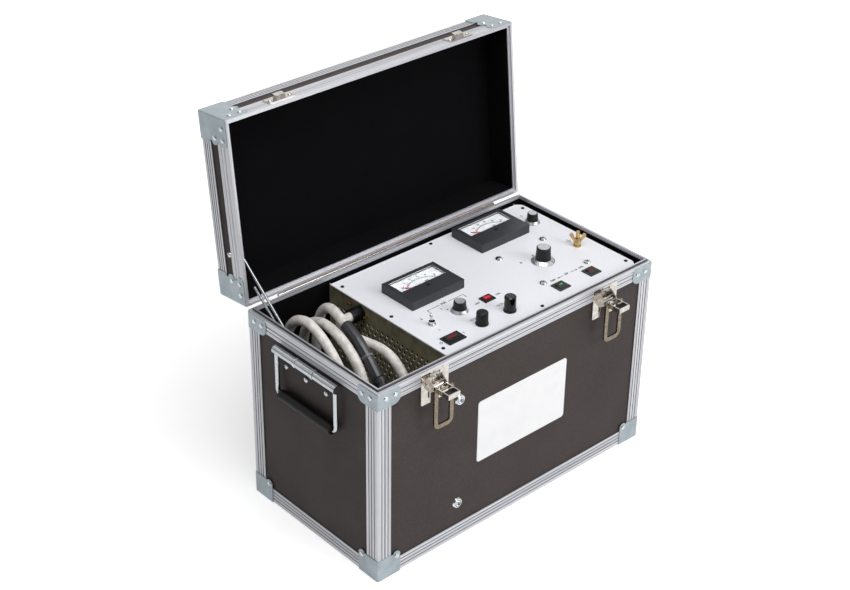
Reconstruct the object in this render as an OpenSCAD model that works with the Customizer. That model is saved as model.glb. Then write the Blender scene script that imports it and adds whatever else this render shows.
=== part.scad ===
// Portable high-voltage (hipot) tester in an aluminium-edged transit case, shown with its lid open.
// Millimetres. Origin at the centre of the base's underside, +X right, +Y to the hinge, +Z up.
// The lid and everything on it are drawn closed and then turned open about the hinge by lid_pose().

/* [Case] */
// Width over the edge extrusions
case_w = 560; // [500:2:640]
// Depth over the edge extrusions
case_d = 292; // [270:2:340]
// Height from the ground to the shelf of the base rim
base_h = 333; // [300:1:380]
// Height of the lid from its rim to its top
lid_h = 64; // [60:1:90]
// Plywood panel thickness
panel_t = 6; // [4:0.5:7]
// Edge extrusion leg width
edge_w = 25; // [20:1:30]
// Edge extrusion wall thickness
edge_t = 1.5; // [1:0.1:2.5]
// Leg width of the lid's edge extrusion
lid_edge_w = 21; // [16:1:26]
// Height of the base rim extrusion
rim_h = 23; // [18:1:30]
// Height of the lid rim extrusion
lid_rim_h = 26; // [22:1:30]
// Height of the rim tongue above its shelf
tongue_h = 3; // [2:0.2:3.4]
// Steel corner plate thickness
cap_t = 1.2; // [0.8:0.1:2]
// Corner cap length along each edge
cap_leg = 42; // [36:1:50]
// Corner cap height
cap_h = 37; // [32:1:45]
// Felt lining thickness
felt_t = 1.2; // [0.8:0.1:2]
// Floor panel thickness
floor_t = 12; // [9:1:18]

/* [Lid hinge and stay] */
// Angle the lid stands open
lid_open = 96; // [90:0.1:100]
// Hinge axis behind the back face
hinge_off = 2.8; // [2.8:0.1:6]
// Knuckle outside radius
knuckle_r = 2.4; // [2:0.1:2.4]
// Hinge pin radius
hinge_pin_r = 1.2; // [0.9:0.1:1.4]
// Number of knuckles
knuckles = 17; // [7:2:25]
// Distance of both stay pivots from the hinge axis
stay_r = 83.4; // [78:0.1:90]
// Direction of the line that halves the two stay pivots, seen from the hinge
stay_mid = 129.5; // [125:0.1:133]
// Distance of the stay's line from the hinge axis
stay_foot = 32.4; // [28:0.1:36]
// Where the stay's second leg starts, along the arm
stay_short = 58; // [40:1:90]
// Stay wire radius
stay_wire_r = 2; // [1.5:0.1:2.5]
// Stay stud radius
stay_stud_r = 4.5; // [3.5:0.1:5]

/* [Latches and handles] */
// Latch distance from the middle of the case
latch_x = 175; // [140:1:200]
// Latch plate width
latch_w = 52; // [44:1:60]
// Latch plate height
latch_h = 51; // [46:1:56]
// Latch axis below the rim shelf
latch_down = 27; // [26:0.5:32]
// Latch lever length
lever_len = 38; // [30:1:44]
// Latch lever width
lever_w = 22; // [16:1:24]
// Latch bail length from its pivot
bail_len = 64; // [54:1:70]
// Latch bail strap width
bail_strap = 7; // [5:0.5:8]
// Latch bail strap thickness
bail_t = 3; // [2:0.1:4]
// Latch bail pivot radius
bail_r = 2.1; // [1.6:0.1:2.6]
// Handle span between its legs
handle_span = 134; // [110:1:160]
// Handle offset to the back
handle_y = 4; // [-10:1:10]
// Handle axis below the rim shelf
handle_down = 31; // [31:1:80]
// Handle barrel radius
barrel_r = 6.8; // [6:0.1:7]
// Handle bar radius
handle_r = 3.6; // [3:0.1:4.5]
// Handle grip radius
grip_r = 8; // [6:0.5:9]
// Handle drop from the barrel to the grip
handle_drop = 74; // [60:1:90]

/* [Instrument panel] */
// Width of the lead bay at the left of the panel
lead_bay = 134.3; // [120:0.1:140]
// Gap between the panel and the lining on its other sides
panel_gap = 6.3; // [4:0.1:10]
// Panel top below the rim shelf
panel_sink = 6; // [3:0.5:10]
// Panel plate thickness
plate_t = 2; // [1.5:0.1:3]
// Radius of the two right-hand panel corners
panel_r = 14; // [6:1:24]
// Meter width
meter_w = 104; // [90:1:110]
// Meter depth
meter_d = 71; // [60:1:76]
// Meter height above the panel
meter_h = 15; // [13:1:20]
// Meter body radius behind the panel
meter_body_r = 33; // [28:1:35]
// Meter body depth behind the panel
meter_body = 40; // [30:1:50]
// Output knob height
knob_h = 25; // [20:1:30]
// Output knob radius
knob_r = 11.8; // [10:0.1:13]
// Output knob skirt radius
knob_skirt = 19; // [16:0.5:22]
// Selector knob height
small_knob_h = 17; // [14:1:22]
// Selector knob radius
small_knob_r = 9.8; // [8:0.1:11]
// Selector knob skirt radius
small_skirt = 14; // [12:0.5:16]
// Fuse cap radius
fuse_cap_r = 9; // [7.5:0.1:10]
// Height of the fluted fuse cap
fuse_low_h = 18.5; // [15:0.5:22]
// Height of the plain cap
fuse_tall_h = 23; // [18:0.5:28]
// Variable transformer fixing bolt spacing
variac_bolt = 97; // [80:1:100]
// Rocker rest tilt
rocker_tilt = 7; // [5:0.5:9]
// High-voltage lead outside radius
lead_r = 7.7; // [6:0.1:8]

/* [Inside] */
// Variable transformer core radius
variac_r = 58; // [50:1:60]
// Variable transformer core height
variac_h = 48; // [40:1:60]
// High-voltage transformer width
core_w = 130; // [110:1:150]
// High-voltage transformer depth
core_d = 140; // [110:1:160]
// High-voltage transformer height
core_h = 150; // [120:1:180]
// Control board width
board_w = 146; // [120:1:160]
// Control board height
board_h = 168; // [140:1:180]

/* [Fits] */
// Running clearance of a pin in a bore, radial
run_fit = 0.08; // [0.02:0.01:0.1]
// Clearance between moving pieces
gap = 0.4; // [0.3:0.05:0.6]
// Clearance of a piece set in a cut-out
seat = 0.05; // [0.02:0.01:0.2]

/* [Hidden] */
$fn = 40;
hx = case_w / 2;
hy = case_d / 2;
wall = edge_t + panel_t;
ix = hx - wall - felt_t;
iy = hy - wall - felt_t;
rim_web = 3;
rim_w = wall;
tongue_u0 = 4.6;
tongue_u1 = rim_w - 0.3;
rail_z = cap_t;
lid_top = base_h + lid_h;
groove_h = tongue_h + 0.6;
shut_gap = 0.2;
hinge_y = hy + hinge_off;
hinge_z = base_h;
hinge_len = case_w - 114;
leaf_t = 1.2;
leaf_h = 18;
zp = base_h - panel_sink;
zb = zp - plate_t;
stay_half = acos(stay_foot / stay_r);
stay_x = -ix + 5.3;
stay_p = [hinge_y + stay_r * cos(stay_mid - stay_half), hinge_z + stay_r * sin(stay_mid - stay_half)];
stay_q = [hinge_y + stay_r * cos(stay_mid + stay_half), hinge_z + stay_r * sin(stay_mid + stay_half)];
stay_len = 2 * stay_r * sin(stay_half);
stay_rise = stay_r * sin(stay_mid - stay_half + lid_open);
stay_dir = stay_mid + 90;
stay_leg = stay_stud_r + 0.3 + stay_wire_r;
latch_z = base_h - latch_down;
lever_out = 8;
rim_foot = base_h - rim_h - latch_z - seat;
bail_out = 12;
bail_in = lever_w / 2 + gap;
bail_turn = 11;
handle_z = base_h - handle_down;
handle_x = hx - edge_t + grip_r + gap;
panel_x0 = -ix + lead_bay;
panel_x1 = ix - panel_gap;
panel_y = iy - panel_gap;
panel_mid = (panel_x0 + panel_x1) / 2 - 2;
// Left-hand pieces are placed from panel_x0, right-hand ones from panel_x1, rows from the front or rear edge
meters = [[panel_x0 + 95, panel_y - 104.5], [panel_x1 - 110.5, panel_y - 47]];
variac_c = [panel_x1 - 106.3, 101.4 - panel_y];
range_c = [panel_x0 + 97, 78.5 - panel_y];
mode_c = [panel_x1 - 30, panel_y - 60.5];
earth_c = [panel_x1 - 31.3, 99.8 - panel_y];
toggle_c = [panel_x0 + 39, 75.5 - panel_y];
fuse_low_c = [panel_x0 + 96.6, 30 - panel_y];
fuse_tall_c = [panel_x0 + 153.6, 30 - panel_y];
gland_c = [64, zb - 18];
gland_len = 20;
chassis_x0 = panel_x0 + 3;
chassis_x1 = panel_x1 - 6;
chassis_y = iy - 0.3;
sheet_t = 1.5;
// x, y, width, depth of each rocker switch: power, high voltage on, high voltage off, alarm
rockers = [[panel_x0 + 37.5, 28 - panel_y, 33, 22], [panel_x1 - 73.5, 29 - panel_y, 23, 21],
    [panel_x1 - 141, 29 - panel_y, 23, 21], [panel_x0 + 150.8, 75.5 - panel_y, 21, 16]];
panel_screw_xy = [[panel_x0 + 9, panel_y - 18], [panel_x0 + 9, 0], [panel_x0 + 9, 18 - panel_y],
    [panel_mid, panel_y - 7], [panel_mid, 7 - panel_y], [panel_x1 - 8.5, panel_y - 17],
    [panel_x1 - 8.5, 17 - panel_y]];
cup_xz = [[chassis_x0 + 11.5, base_h - 80.5], [chassis_x0 + 11.5, 65]];
dial_t = 0.8;
dial_z = meter_h - 5.6;
needle_z = dial_z + dial_t + 0.5;
needle_t = 1;
cover_z = needle_z + needle_t + 0.6;

// Route of the high-voltage lead, from the chassis wall: out of the gland, forward and down, three
// standing turns that rest on the floor felt, and over the top to the plug
lead_pts = [[-10, 64, 307], [-23, 64, 307], [-36.5, 61, 307], [-47.5, 54, 308], [-55, 43, 309], [-58, 30, 311],
    [-57.5, 14, 312], [-54, -8, 313], [-47, -40, 312], [-46, -72, 301], [-46, -98, 264], [-47, -111, 160], [-50, -93, 66], [-55, -52, 28],
    [-63, 4, 23], [-70, 56, 28], [-74, 97, 64], [-76, 113, 170], [-79, 100, 284], [-83, 62, 325], [-87, 10, 328],
    [-91, -38, 302], [-94, -70, 246], [-94, -94, 150], [-93, -80, 60], [-96, -40, 28], [-102, 24, 23],
    [-107, 84, 54], [-109, 113, 160], [-109, 101, 296], [-109, 60, 338], [-111, 4, 321], [-114, -44, 270],
    [-116, -84, 160], [-113, -74, 76], [-102, -38, 45], [-80, 12, 41], [-61, 58, 46], [-52, 97, 84],
    [-49, 113, 180], [-50, 103, 290], [-54, 72, 333], [-64, 20, 332]];
plug_pts = [[-64, 20, 332], [-69, -12, 323], [-73, -39, 309], [-77, -66, 289]];
plug_dir = [-5, -26, -29];
plug_len = 34;

module lid_pose() {
    translate([0, hinge_y, hinge_z])
        rotate([-lid_open, 0, 0])
            translate([0, -hinge_y, -hinge_z])
                children();
}

// A mitred frame round a case_w by case_d plan; the child is the section, u inward and v up
module perimeter() {
    for (a = [0 : 3]) {
        len = a % 2 == 0 ? case_w : case_d;
        off = a % 2 == 0 ? hy : hx;
        rotate([0, 0, 90 * a])
            intersection() {
                translate([-len / 2, -off, 0])
                    rotate([90, 0, 90])
                        linear_extrude(len)
                            children();
                translate([0, -off, -10])
                    linear_extrude(base_h + 200)
                        polygon([[seat - len / 2, 0], [len / 2 - seat, 0], [len / 2 - 60 - seat, 60],
                            [60 + seat - len / 2, 60]]);
            }
    }
}

// The four corners of the case, seen by turning the first one round
module corners() {
    for (sx = [0, 1], sy = [0, 1])
        mirror([sx, 0, 0])
            mirror([0, sy, 0])
                translate([-hx, -hy, 0])
                    children();
}

module box(a, b) {
    translate(a)
        cube(b - a);
}

module bar(p, q, r) {
    v = q - p;
    translate(p)
        rotate([0, acos(v.z / norm(v)), atan2(v.y, v.x)])
            cylinder(r = r, h = norm(v));
}

module dome(r, h) {
    rotate_extrude($fn = 28)
        polygon([[0, 0], [r, 0], [r, 0.3 * h], [r * 0.86, 0.72 * h], [r * 0.5, 0.95 * h], [0, h]]);
}

module ribs(v0, v1, n) {
    for (i = [1 : n])
        translate([-1, v0 + (v1 - v0) * i / (n + 1) - 0.8])
            square([1.6, 1.6]);
}

// Section of an edge angle: one leg up the face, one leg under the panel
module edge_section(w) {
    difference() {
        union() {
            square([edge_t, w]);
            square([w, edge_t]);
        }
        ribs(1, w, 3);
    }
}

// Holes for the cup-washer screws that hold the chassis through the front
module cup_holes() {
    for (p = cup_xz)
        translate([p[0], -hy, p[1]])
            rotate([90, 0, 0])
                cylinder(r = 2 + seat, h = 40, center = true);
}

module base_panels() {
    z0 = rail_z + edge_t;
    z1 = base_h - rim_web;
    px = hx - edge_t;
    py = hy - edge_t;
    color("#4a423f") {
        for (s = [-1, 1]) {
            difference() {
                translate([0, s * (py - panel_t / 2), (z0 + z1) / 2])
                    cube([2 * px, panel_t, z1 - z0], center = true);
                cup_holes();
            }
            translate([s * (px - panel_t / 2), 0, (z0 + z1) / 2])
                cube([panel_t, 2 * (py - panel_t - seat), z1 - z0], center = true);
        }
        box([panel_t + seat - px, panel_t + seat - py, z0], [px - panel_t - seat, py - panel_t - seat, floor_t]);
        difference() {
            box([edge_w + seat - hx, edge_w + seat - hy, 0], [hx - edge_w - seat, hy - edge_w - seat, z0]);
            corners()
                translate([-1, -1, -1])
                    cube([cap_leg + 1.2, cap_leg + 1.2, 1 + cap_t + seat]);
        }
    }
}

module base_edges() {
    color("#c9cbd0") {
        translate([0, 0, rail_z])
            perimeter()
                edge_section(edge_w);
        corners()
            translate([0, 0, rail_z + edge_w + seat])
                linear_extrude(base_h - rim_h - rail_z - edge_w - 2 * seat)
                    difference() {
                        square(edge_w);
                        translate([edge_t, edge_t])
                            square(edge_w);
                        ribs(2, edge_w, 3);
                        mirror([1, -1])
                            ribs(2, edge_w, 3);
                    }
    }
}

module base_rim_section() {
    difference() {
        union() {
            square([edge_t, rim_h]);
            translate([0, rim_h - rim_web])
                square([rim_w, rim_web]);
            translate([tongue_u0, rim_h - 1])
                square([tongue_u1 - tongue_u0, tongue_h + 1]);
        }
        ribs(0, rim_h - 3, 2);
        translate([tongue_u0 - 1.2, rim_h - 1])
            square([1.2, 2]);
    }
}

module base_rim() {
    color("#cfd1d6")
        translate([0, 0, base_h - rim_h])
            perimeter()
                base_rim_section();
}

ear_r = 7;
cap_rivet_z = 32;
plate_top = 2.7;
plate_low = 29.3;
plate_rivet_z = 13.5;
plate_rivets = [14.5, 32];
// Face plate of a bottom corner cap: covers the rail and the foot of the post, with an ear for its rivet
module bottom_cap_face() {
    translate([-cap_t, 0])
        square([cap_leg - 2 * ear_r + cap_t, cap_h]);
    translate([cap_leg - 2 * ear_r - 1, 0])
        square([2 * ear_r + 1, cap_h - 4]);
    translate([cap_leg - ear_r, cap_h - 4])
        circle(r = ear_r);
}

// Face plate of an upper corner angle: a strap over the rim with a rounded end
module top_plate_face() {
    r0 = 6;
    r1 = 12;
    translate([-cap_t, -plate_low])
        square([cap_leg - r1 + cap_t, plate_low - plate_top]);
    translate([cap_leg - r1 - 1, r1 - plate_low])
        square([r1 + 1, plate_low - plate_top - r0 - r1]);
    translate([cap_leg - r1 - 1, -plate_top - r0 - 1])
        square([r1 - r0 + 1, r0 + 1]);
    translate([cap_leg - r1, r1 - plate_low])
        circle(r = r1);
    translate([cap_leg - r0, -plate_top - r0])
        circle(r = r0);
}

// What is taken off a sharp corner to leave it rounded
module corner_round(h) {
    r = 1.8 * cap_t;
    translate([-cap_t, -cap_t, -1])
        linear_extrude(h + 2)
            difference() {
                translate([-1, -1])
                    square(r + 1);
                translate([r, r])
                    circle(r = r);
            }
}

module on_front(z) {
    translate([0, 0, z])
        rotate([90, 0, 0])
            linear_extrude(cap_t)
                children();
}

module on_side(z) {
    translate([0, 0, z])
        rotate([90, 0, -90])
            mirror([1, 0])
                linear_extrude(cap_t)
                    children();
}

module base_corner_plates() {
    color("#b4bec2")
        corners()
            difference() {
                union() {
                    on_front(0)
                        bottom_cap_face();
                    on_side(0)
                        bottom_cap_face();
                    translate([-cap_t, -cap_t, 0])
                        linear_extrude(cap_t)
                            difference() {
                                square(cap_leg + cap_t);
                                polygon([[cap_leg + 9, 30], [cap_leg + 9, cap_leg + 9], [30, cap_leg + 9]]);
                            }
                    translate([-cap_t, -cap_t, 0])
                        cube([cap_t, cap_t, cap_h]);
                    on_front(base_h)
                        top_plate_face();
                    on_side(base_h)
                        top_plate_face();
                    translate([-cap_t, -cap_t, base_h - plate_low])
                        cube([cap_t, cap_t, plate_low - plate_top]);
                }
                translate([cap_leg - ear_r, 0, cap_rivet_z])
                    rotate([90, 0, 0])
                        cylinder(r = 2 + seat, h = 10, center = true);
                translate([0, cap_leg - ear_r, cap_rivet_z])
                    rotate([0, 90, 0])
                        cylinder(r = 2 + seat, h = 10, center = true);
                corner_round(base_h);
            }
}

rivet_r = 4;
rivet_h = 2;
// A domed rivet with its shank; axis out along +Z
module rivet(r, h, shank) {
    dome(r, h);
    translate([0, 0, -shank])
        cylinder(r = 2, h = shank);
}

module base_rivets() {
    color("#aab2b6")
        corners() {
            translate([cap_leg - ear_r, -cap_t, cap_rivet_z])
                rotate([90, 0, 0])
                    rivet(rivet_r, rivet_h, cap_t + edge_t);
            translate([-cap_t, cap_leg - ear_r, cap_rivet_z])
                rotate([0, -90, 0])
                    rivet(rivet_r, rivet_h, cap_t + edge_t);
            for (d = plate_rivets) {
                translate([d, -cap_t, base_h - plate_rivet_z])
                    rotate([90, 0, 0])
                        dome(rivet_r, rivet_h);
                translate([-cap_t, d, base_h - plate_rivet_z])
                    rotate([0, -90, 0])
                        dome(rivet_r, rivet_h);
            }
        }
}

module base_lining() {
    top = base_h - rim_web - 0.2;
    color("#151515") {
        difference() {
            translate([0, 0, floor_t])
                linear_extrude(top - floor_t)
                    difference() {
                        square([2 * (ix + felt_t), 2 * (iy + felt_t)], center = true);
                        square([2 * ix, 2 * iy], center = true);
                    }
            cup_holes();
        }
        box([-ix, -iy, floor_t], [chassis_x0 - seat, iy, floor_t + felt_t]);
    }
}

// Knuckles of one leaf; first is 0 or 1
module leaf(first) {
    k = hinge_len / knuckles;
    top = base_h - knuckle_r - gap;
    difference() {
        union() {
            box([-hinge_len / 2, hy, top - leaf_h], [hinge_len / 2, hy + leaf_t, top]);
            for (i = [first : 2 : knuckles - 1])
                translate([i * k - hinge_len / 2 + 0.2, 0, 0]) {
                    box([0, hy, top - 0.4], [k - 0.4, hy + leaf_t, base_h]);
                    box([0, hy + leaf_t - 0.2, base_h - knuckle_r], [k - 0.4, hinge_y, base_h]);
                    translate([0, hinge_y, hinge_z])
                        rotate([0, 90, 0])
                            cylinder(r = knuckle_r, h = k - 0.4);
                }
        }
        translate([-hx, hinge_y, hinge_z])
            rotate([0, 90, 0])
                cylinder(r = hinge_pin_r + run_fit, h = case_w);
    }
}

module hinge_base_leaf() {
    color("#b9a27a")
        leaf(0);
}

module hinge_lid_leaf() {
    color("#b9a27a")
        lid_pose()
            translate([0, 0, 2 * base_h])
                mirror([0, 0, 1])
                    leaf(1);
}

module hinge_pin() {
    color("#c0c0c0")
        translate([-hinge_len / 2 - 1, hinge_y, hinge_z])
            rotate([0, 90, 0])
                cylinder(r = hinge_pin_r, h = hinge_len + 2);
}

// Stay: a stud on the base wall, a bracket on the lid wall and a hairpin arm between them
module stay_button(r, c, plate, head, turn) {
    translate([-ix, c[0], c[1]])
        rotate([0, 90, 0]) {
            rotate([0, 0, turn])
                linear_extrude(sheet_t)
                    square(plate, center = true);
            cylinder(r = r, h = 8.6);
            translate([0, 0, 5.3 + stay_wire_r + 0.3])
                cylinder(r = head, h = 1.2);
        }
}

module stay_stud() {
    color("#b8bcc0")
        stay_button(stay_stud_r, stay_q, 24, 8, 0);
}

module stay_bracket() {
    color("#8d9093")
        union() {
            stay_button(2.5, stay_p, 26, 5, -lid_open);
            translate([edge_t - hx, stay_p[0], stay_p[1]])
                rotate([0, -90, 0])
                    dome(stay_rise - lid_rim_h - gap, 3);
        }
}

module stay_arm() {
    color("#d3d5d8")
        translate([stay_x, stay_p[0], stay_p[1]])
            rotate([stay_dir, 0, 0])
                rotate([0, 90, 0])
                    rotate([0, 0, 90]) {
                        difference() {
                            union() {
                                translate([0, 0, -stay_wire_r])
                                    cylinder(r = 8, h = 2 * stay_wire_r);
                                translate([0, -stay_leg, 0])
                                    rotate([0, 90, 0])
                                        cylinder(r = stay_wire_r, h = stay_len);
                            }
                            cylinder(r = 2.5 + run_fit, h = 20, center = true);
                        }
                        translate([stay_short, stay_leg, 0]) {
                            rotate([0, 90, 0])
                                cylinder(r = stay_wire_r, h = stay_len - stay_short);
                            sphere(r = stay_wire_r, $fn = 24);
                        }
                        translate([stay_len, 0, 0])
                            rotate([0, 0, -90])
                                rotate_extrude(angle = 180)
                                    translate([stay_leg, 0])
                                        circle(r = stay_wire_r, $fn = 24);
                    }
}

// Draw latch on the front face; the children sit at the latch centre
module latches() {
    for (s = [-1, 1])
        translate([s * latch_x, -hy, latch_z])
            children();
}

ear_x = lever_w / 2 + gap;
ear_t = 1.8;
pin_r = 1.8;
latch_t = 1.4;
latch_low = 29;
leg_in = 8;
leg_r = 3;
leg_slot = 3;
// Latch plate: an inverted U with slotted legs and a slot under its top edge
module latch_face() {
    difference() {
        union() {
            translate([-latch_w / 2, leg_r - latch_low])
                square([latch_w, latch_h - leg_r]);
            translate([leg_r - latch_w / 2, -latch_low])
                square([latch_w - 2 * leg_r, leg_r + 1]);
            for (s = [-1, 1])
                translate([s * (latch_w / 2 - leg_r), leg_r - latch_low])
                    circle(r = leg_r);
        }
        translate([-leg_in, -latch_low - 1])
            square([2 * leg_in, latch_low - 9]);
        for (s = [-1, 1])
            translate([s * (leg_in + 3.5), -14])
                square([leg_slot, 12], center = true);
        translate([0, latch_h - latch_low - 5])
            square([19, 4], center = true);
    }
}

module latch_plates() {
    color("#b9b3a8")
        latches() {
            rotate([90, 0, 0])
                linear_extrude(latch_t)
                    latch_face();
            intersection() {
                translate([-latch_w / 2, 0, -latch_low])
                    cube([latch_w, edge_t, latch_low + rim_foot]);
                translate([0, edge_t, 0])
                    rotate([90, 0, 0])
                        linear_extrude(edge_t)
                            latch_face();
            }
            for (s = [-1, 1])
                translate([s * (ear_x + ear_t / 2), 0, 0])
                    rotate([90, 0, 90])
                        linear_extrude(ear_t, center = true)
                            polygon([[-1, -9], [-lever_out, -7], [-lever_out - 5, -3], [-lever_out - 5, 4],
                                [-lever_out, 8], [-1, 14]]);
            translate([0, -lever_out, 0])
                rotate([0, 90, 0])
                    cylinder(r = pin_r, h = 2 * (ear_x + ear_t + 1), center = true);
        }
}

// Latch lever: an open tray with a rolled barrel on the pin
module latch_lever() {
    tip = 4 - lever_len;
    wall_t = 1.6;
    low = -4.4;
    color("#9b968d")
        translate([0, -lever_out, 0])
            difference() {
                union() {
                    rotate([0, 90, 0])
                        cylinder(r = 3.4, h = lever_w, center = true);
                    for (s = [-1, 1])
                        translate([s * (lever_w - wall_t) / 2, 0, 0])
                            rotate([90, 0, 90])
                                linear_extrude(wall_t, center = true)
                                    polygon([[2.4, -2.4], [2.4, 2.4], [0, 3.4], [tip, 3.4], [tip, low], [-3, low]]);
                    translate([-lever_w / 2, tip, low])
                        cube([lever_w, -tip - bail_out - bail_r - 1.5, wall_t]);
                    translate([-lever_w / 2, tip, low])
                        cube([lever_w, wall_t, 3.4 - low]);
                }
                rotate([0, 90, 0])
                    cylinder(r = pin_r + run_fit, h = 60, center = true);
                translate([0, -bail_out, 0])
                    rotate([0, 90, 0])
                        cylinder(r = bail_r + run_fit, h = 60, center = true);
            }
}

// Outline of the bail, w half wide: straight sides down to rounded lower corners of radius r
module bail_shape(w, low, r) {
    translate([-w, r - low])
        square([2 * w, low - r]);
    translate([r - w, -low])
        square([2 * (w - r), r + 0.5]);
    for (s = [-1, 1])
        translate([s * (w - r), r - low])
            circle(r = r);
}

// Latch bail: a flat loop that hangs on its own pin through the lever
module latch_bail() {
    w = bail_in + bail_strap;
    color("#8f887c")
        translate([0, -lever_out - bail_out, 0]) {
            rotate([90, 0, 0])
                linear_extrude(bail_t, center = true) {
                    difference() {
                        bail_shape(w, bail_len, bail_turn);
                        translate([0, 1])
                            bail_shape(bail_in, bail_len - bail_strap + 1, bail_turn - bail_strap);
                    }
                    for (s = [-1, 1])
                        translate([s * (bail_in + bail_strap / 2), 0])
                            circle(r = bail_strap / 2);
                }
            bar([-bail_in - 1, 0, 0], [bail_in + 1, 0, 0], bail_r);
        }
}

module at_latch(s) {
    translate([s * latch_x, -hy, latch_z])
        children();
}

module latch_lever_left() {
    at_latch(-1)
        latch_lever();
}

module latch_lever_right() {
    at_latch(1)
        latch_lever();
}

module latch_bail_left() {
    at_latch(-1)
        latch_bail();
}

module latch_bail_right() {
    at_latch(1)
        latch_bail();
}

// Chest handles on both ends: a fixed barrel, and a bail with a rubber grip that hangs from it
barrel_half = 22;
module on_left() {
    translate([0, handle_y, handle_z])
        children();
}

module on_right() {
    on_left()
        rotate([0, 0, 180])
            children();
}

handle_turn = 8;
handle_rivets = [-46, 0, 46];
module handle_base() {
    face = hx - edge_t;
    difference() {
        union() {
            box([-handle_x, -barrel_half, -6], [-face, barrel_half, 3]);
            translate([-handle_x, 0, 0])
                rotate([90, 0, 0])
                    cylinder(r = barrel_r + 0.4, h = 2 * barrel_half, center = true);
        }
        translate([-handle_x, 0, 0])
            rotate([90, 0, 0])
                cylinder(r = handle_r + run_fit, h = 200, center = true);
    }
    for (d = handle_rivets)
        translate([-face, d + 9, -27])
            rotate([0, -90, 0])
                dome(4.4, 3);
}

module handle_plates() {
    color("#b7bcc2") {
        on_left()
            handle_base();
        on_right()
            handle_base();
    }
}

module handle_bail() {
    h = handle_span / 2;
    low = handle_turn - handle_drop;
    color("#c4ccd4")
        translate([-handle_x, 0, 0]) {
            bar([0, -h, 0], [0, h, 0], handle_r);
            for (s = [-1, 1]) {
                bar([0, s * (barrel_half + 0.5), 0], [0, s * (h + handle_r), 0], barrel_r);
                bar([0, s * h, 0], [0, s * h, low], handle_r);
                translate([0, s * (h - handle_turn), low])
                    rotate([0, 0, 90 * s])
                        rotate([90, 0, 0])
                            rotate([0, 0, -90])
                                rotate_extrude(angle = 90)
                                    translate([handle_turn, 0])
                                        circle(r = handle_r, $fn = 24);
            }
            bar([0, handle_turn - h, -handle_drop], [0, h - handle_turn, -handle_drop], handle_r);
        }
}

module handle_grip() {
    h = handle_span / 2 - handle_turn;
    color("#161616")
        translate([-handle_x, 0, -handle_drop])
            rotate([90, 0, 0])
                difference() {
                    cylinder(r = grip_r, h = 2 * h, center = true);
                    cylinder(r = handle_r + seat, h = 2 * h + 2, center = true);
                }
}

module handle_bail_left() {
    on_left()
        handle_bail();
}

module handle_bail_right() {
    on_right()
        handle_bail();
}

module handle_grip_left() {
    on_left()
        handle_grip();
}

module handle_grip_right() {
    on_right()
        handle_grip();
}

// Chassis: a folded steel tray that carries the panel; its left wall is perforated
module chassis() {
    x0 = chassis_x0;
    x1 = chassis_x1;
    y1 = chassis_y;
    color("#8a7a45")
        difference() {
            union() {
                box([x0, -y1, floor_t], [x0 + sheet_t, y1, zb]);
                box([x1 - sheet_t, -y1, floor_t], [x1, y1, zb]);
                box([x0, -y1, floor_t], [x1, y1, floor_t + sheet_t]);
                box([x0, 15 - y1, zb - sheet_t], [x0 + 18, y1 - 15, zb]);
                box([x1 - 18, 15 - y1, zb - sheet_t], [x1, y1 - 15, zb]);
                for (s = [-1, 1]) {
                    translate([0, s * (y1 - sheet_t / 2), 0]) {
                        box([x0, -sheet_t / 2, floor_t], [x0 + 24, sheet_t / 2, zb - 8]);
                        box([x1 - 24, -sheet_t / 2, floor_t], [x1, sheet_t / 2, zb - 8]);
                        box([x0, -sheet_t / 2, zb - 30], [x1, sheet_t / 2, zb - 8]);
                    }
                    box([panel_mid - 10, s * (y1 - 8) - 8, zb - 9.5], [panel_mid + 10, s * (y1 - 8) + 8, zb - 8]);
                    box([panel_mid - 10, s * (y1 - 15) - 1, zb - 9], [panel_mid + 10, s * (y1 - 15) + 1, zb]);
                }
            }
            for (r = [0 : 9], c = [0 : 21])
                translate([x0, (c - 10.5) * 11 + (r % 2) * 5.5 - 2.7, zb - 32 - r * 9.5])
                    rotate([0, 90, 0])
                        cylinder(r = 2.9, h = 10, center = true, $fn = 16);
            translate([x0, gland_c[0], gland_c[1]])
                rotate([0, 90, 0])
                    cylinder(r = 8.2, h = 10, center = true);
            cup_holes();
            for (p = panel_screw_xy)
                translate([p[0], p[1], zb])
                    cylinder(r = 1.6 + seat, h = 30, center = true);
        }
}

module panel_outline() {
    difference() {
        union() {
            translate([panel_x0, -panel_y])
                square([panel_x1 - panel_x0 - panel_r, 2 * panel_y]);
            translate([panel_x0, panel_r - panel_y])
                square([panel_x1 - panel_x0, 2 * (panel_y - panel_r)]);
            for (s = [-1, 1])
                translate([panel_x1 - panel_r, s * (panel_y - panel_r)])
                    circle(r = panel_r);
        }
        for (m = meters)
            translate(m)
                circle(r = meter_body_r + seat);
        for (k = rockers)
            translate([k[0], k[1]])
                square([k[2] - 4 + 2 * seat, k[3] - 4 + 2 * seat], center = true);
        for (c = [variac_c, range_c, mode_c])
            translate(c)
                circle(r = 3 + run_fit);
        for (c = [fuse_low_c, fuse_tall_c])
            translate(c)
                circle(r = 7 + seat);
        translate(earth_c)
            circle(r = 3 + seat);
        translate(toggle_c)
            circle(r = 3.2 + seat);
        for (p = panel_screw_xy)
            translate(p)
                circle(r = 1.6 + seat);
        for (sx = [-1, 1], sy = [-1, 1])
            translate(variac_c + variac_bolt / 2 * [sx, sy])
                circle(r = 3 + seat);
    }
}

module control_panel() {
    color("#e6e7ea")
        translate([0, 0, zb])
            linear_extrude(plate_t)
                panel_outline();
}

module panel_screws() {
    color("#1c1c1c")
        for (p = panel_screw_xy)
            translate([p[0], p[1], zp]) {
                dome(2.9, 1.8);
                translate([0, 0, -10])
                    cylinder(r = 1.6, h = 10);
            }
}

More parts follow.
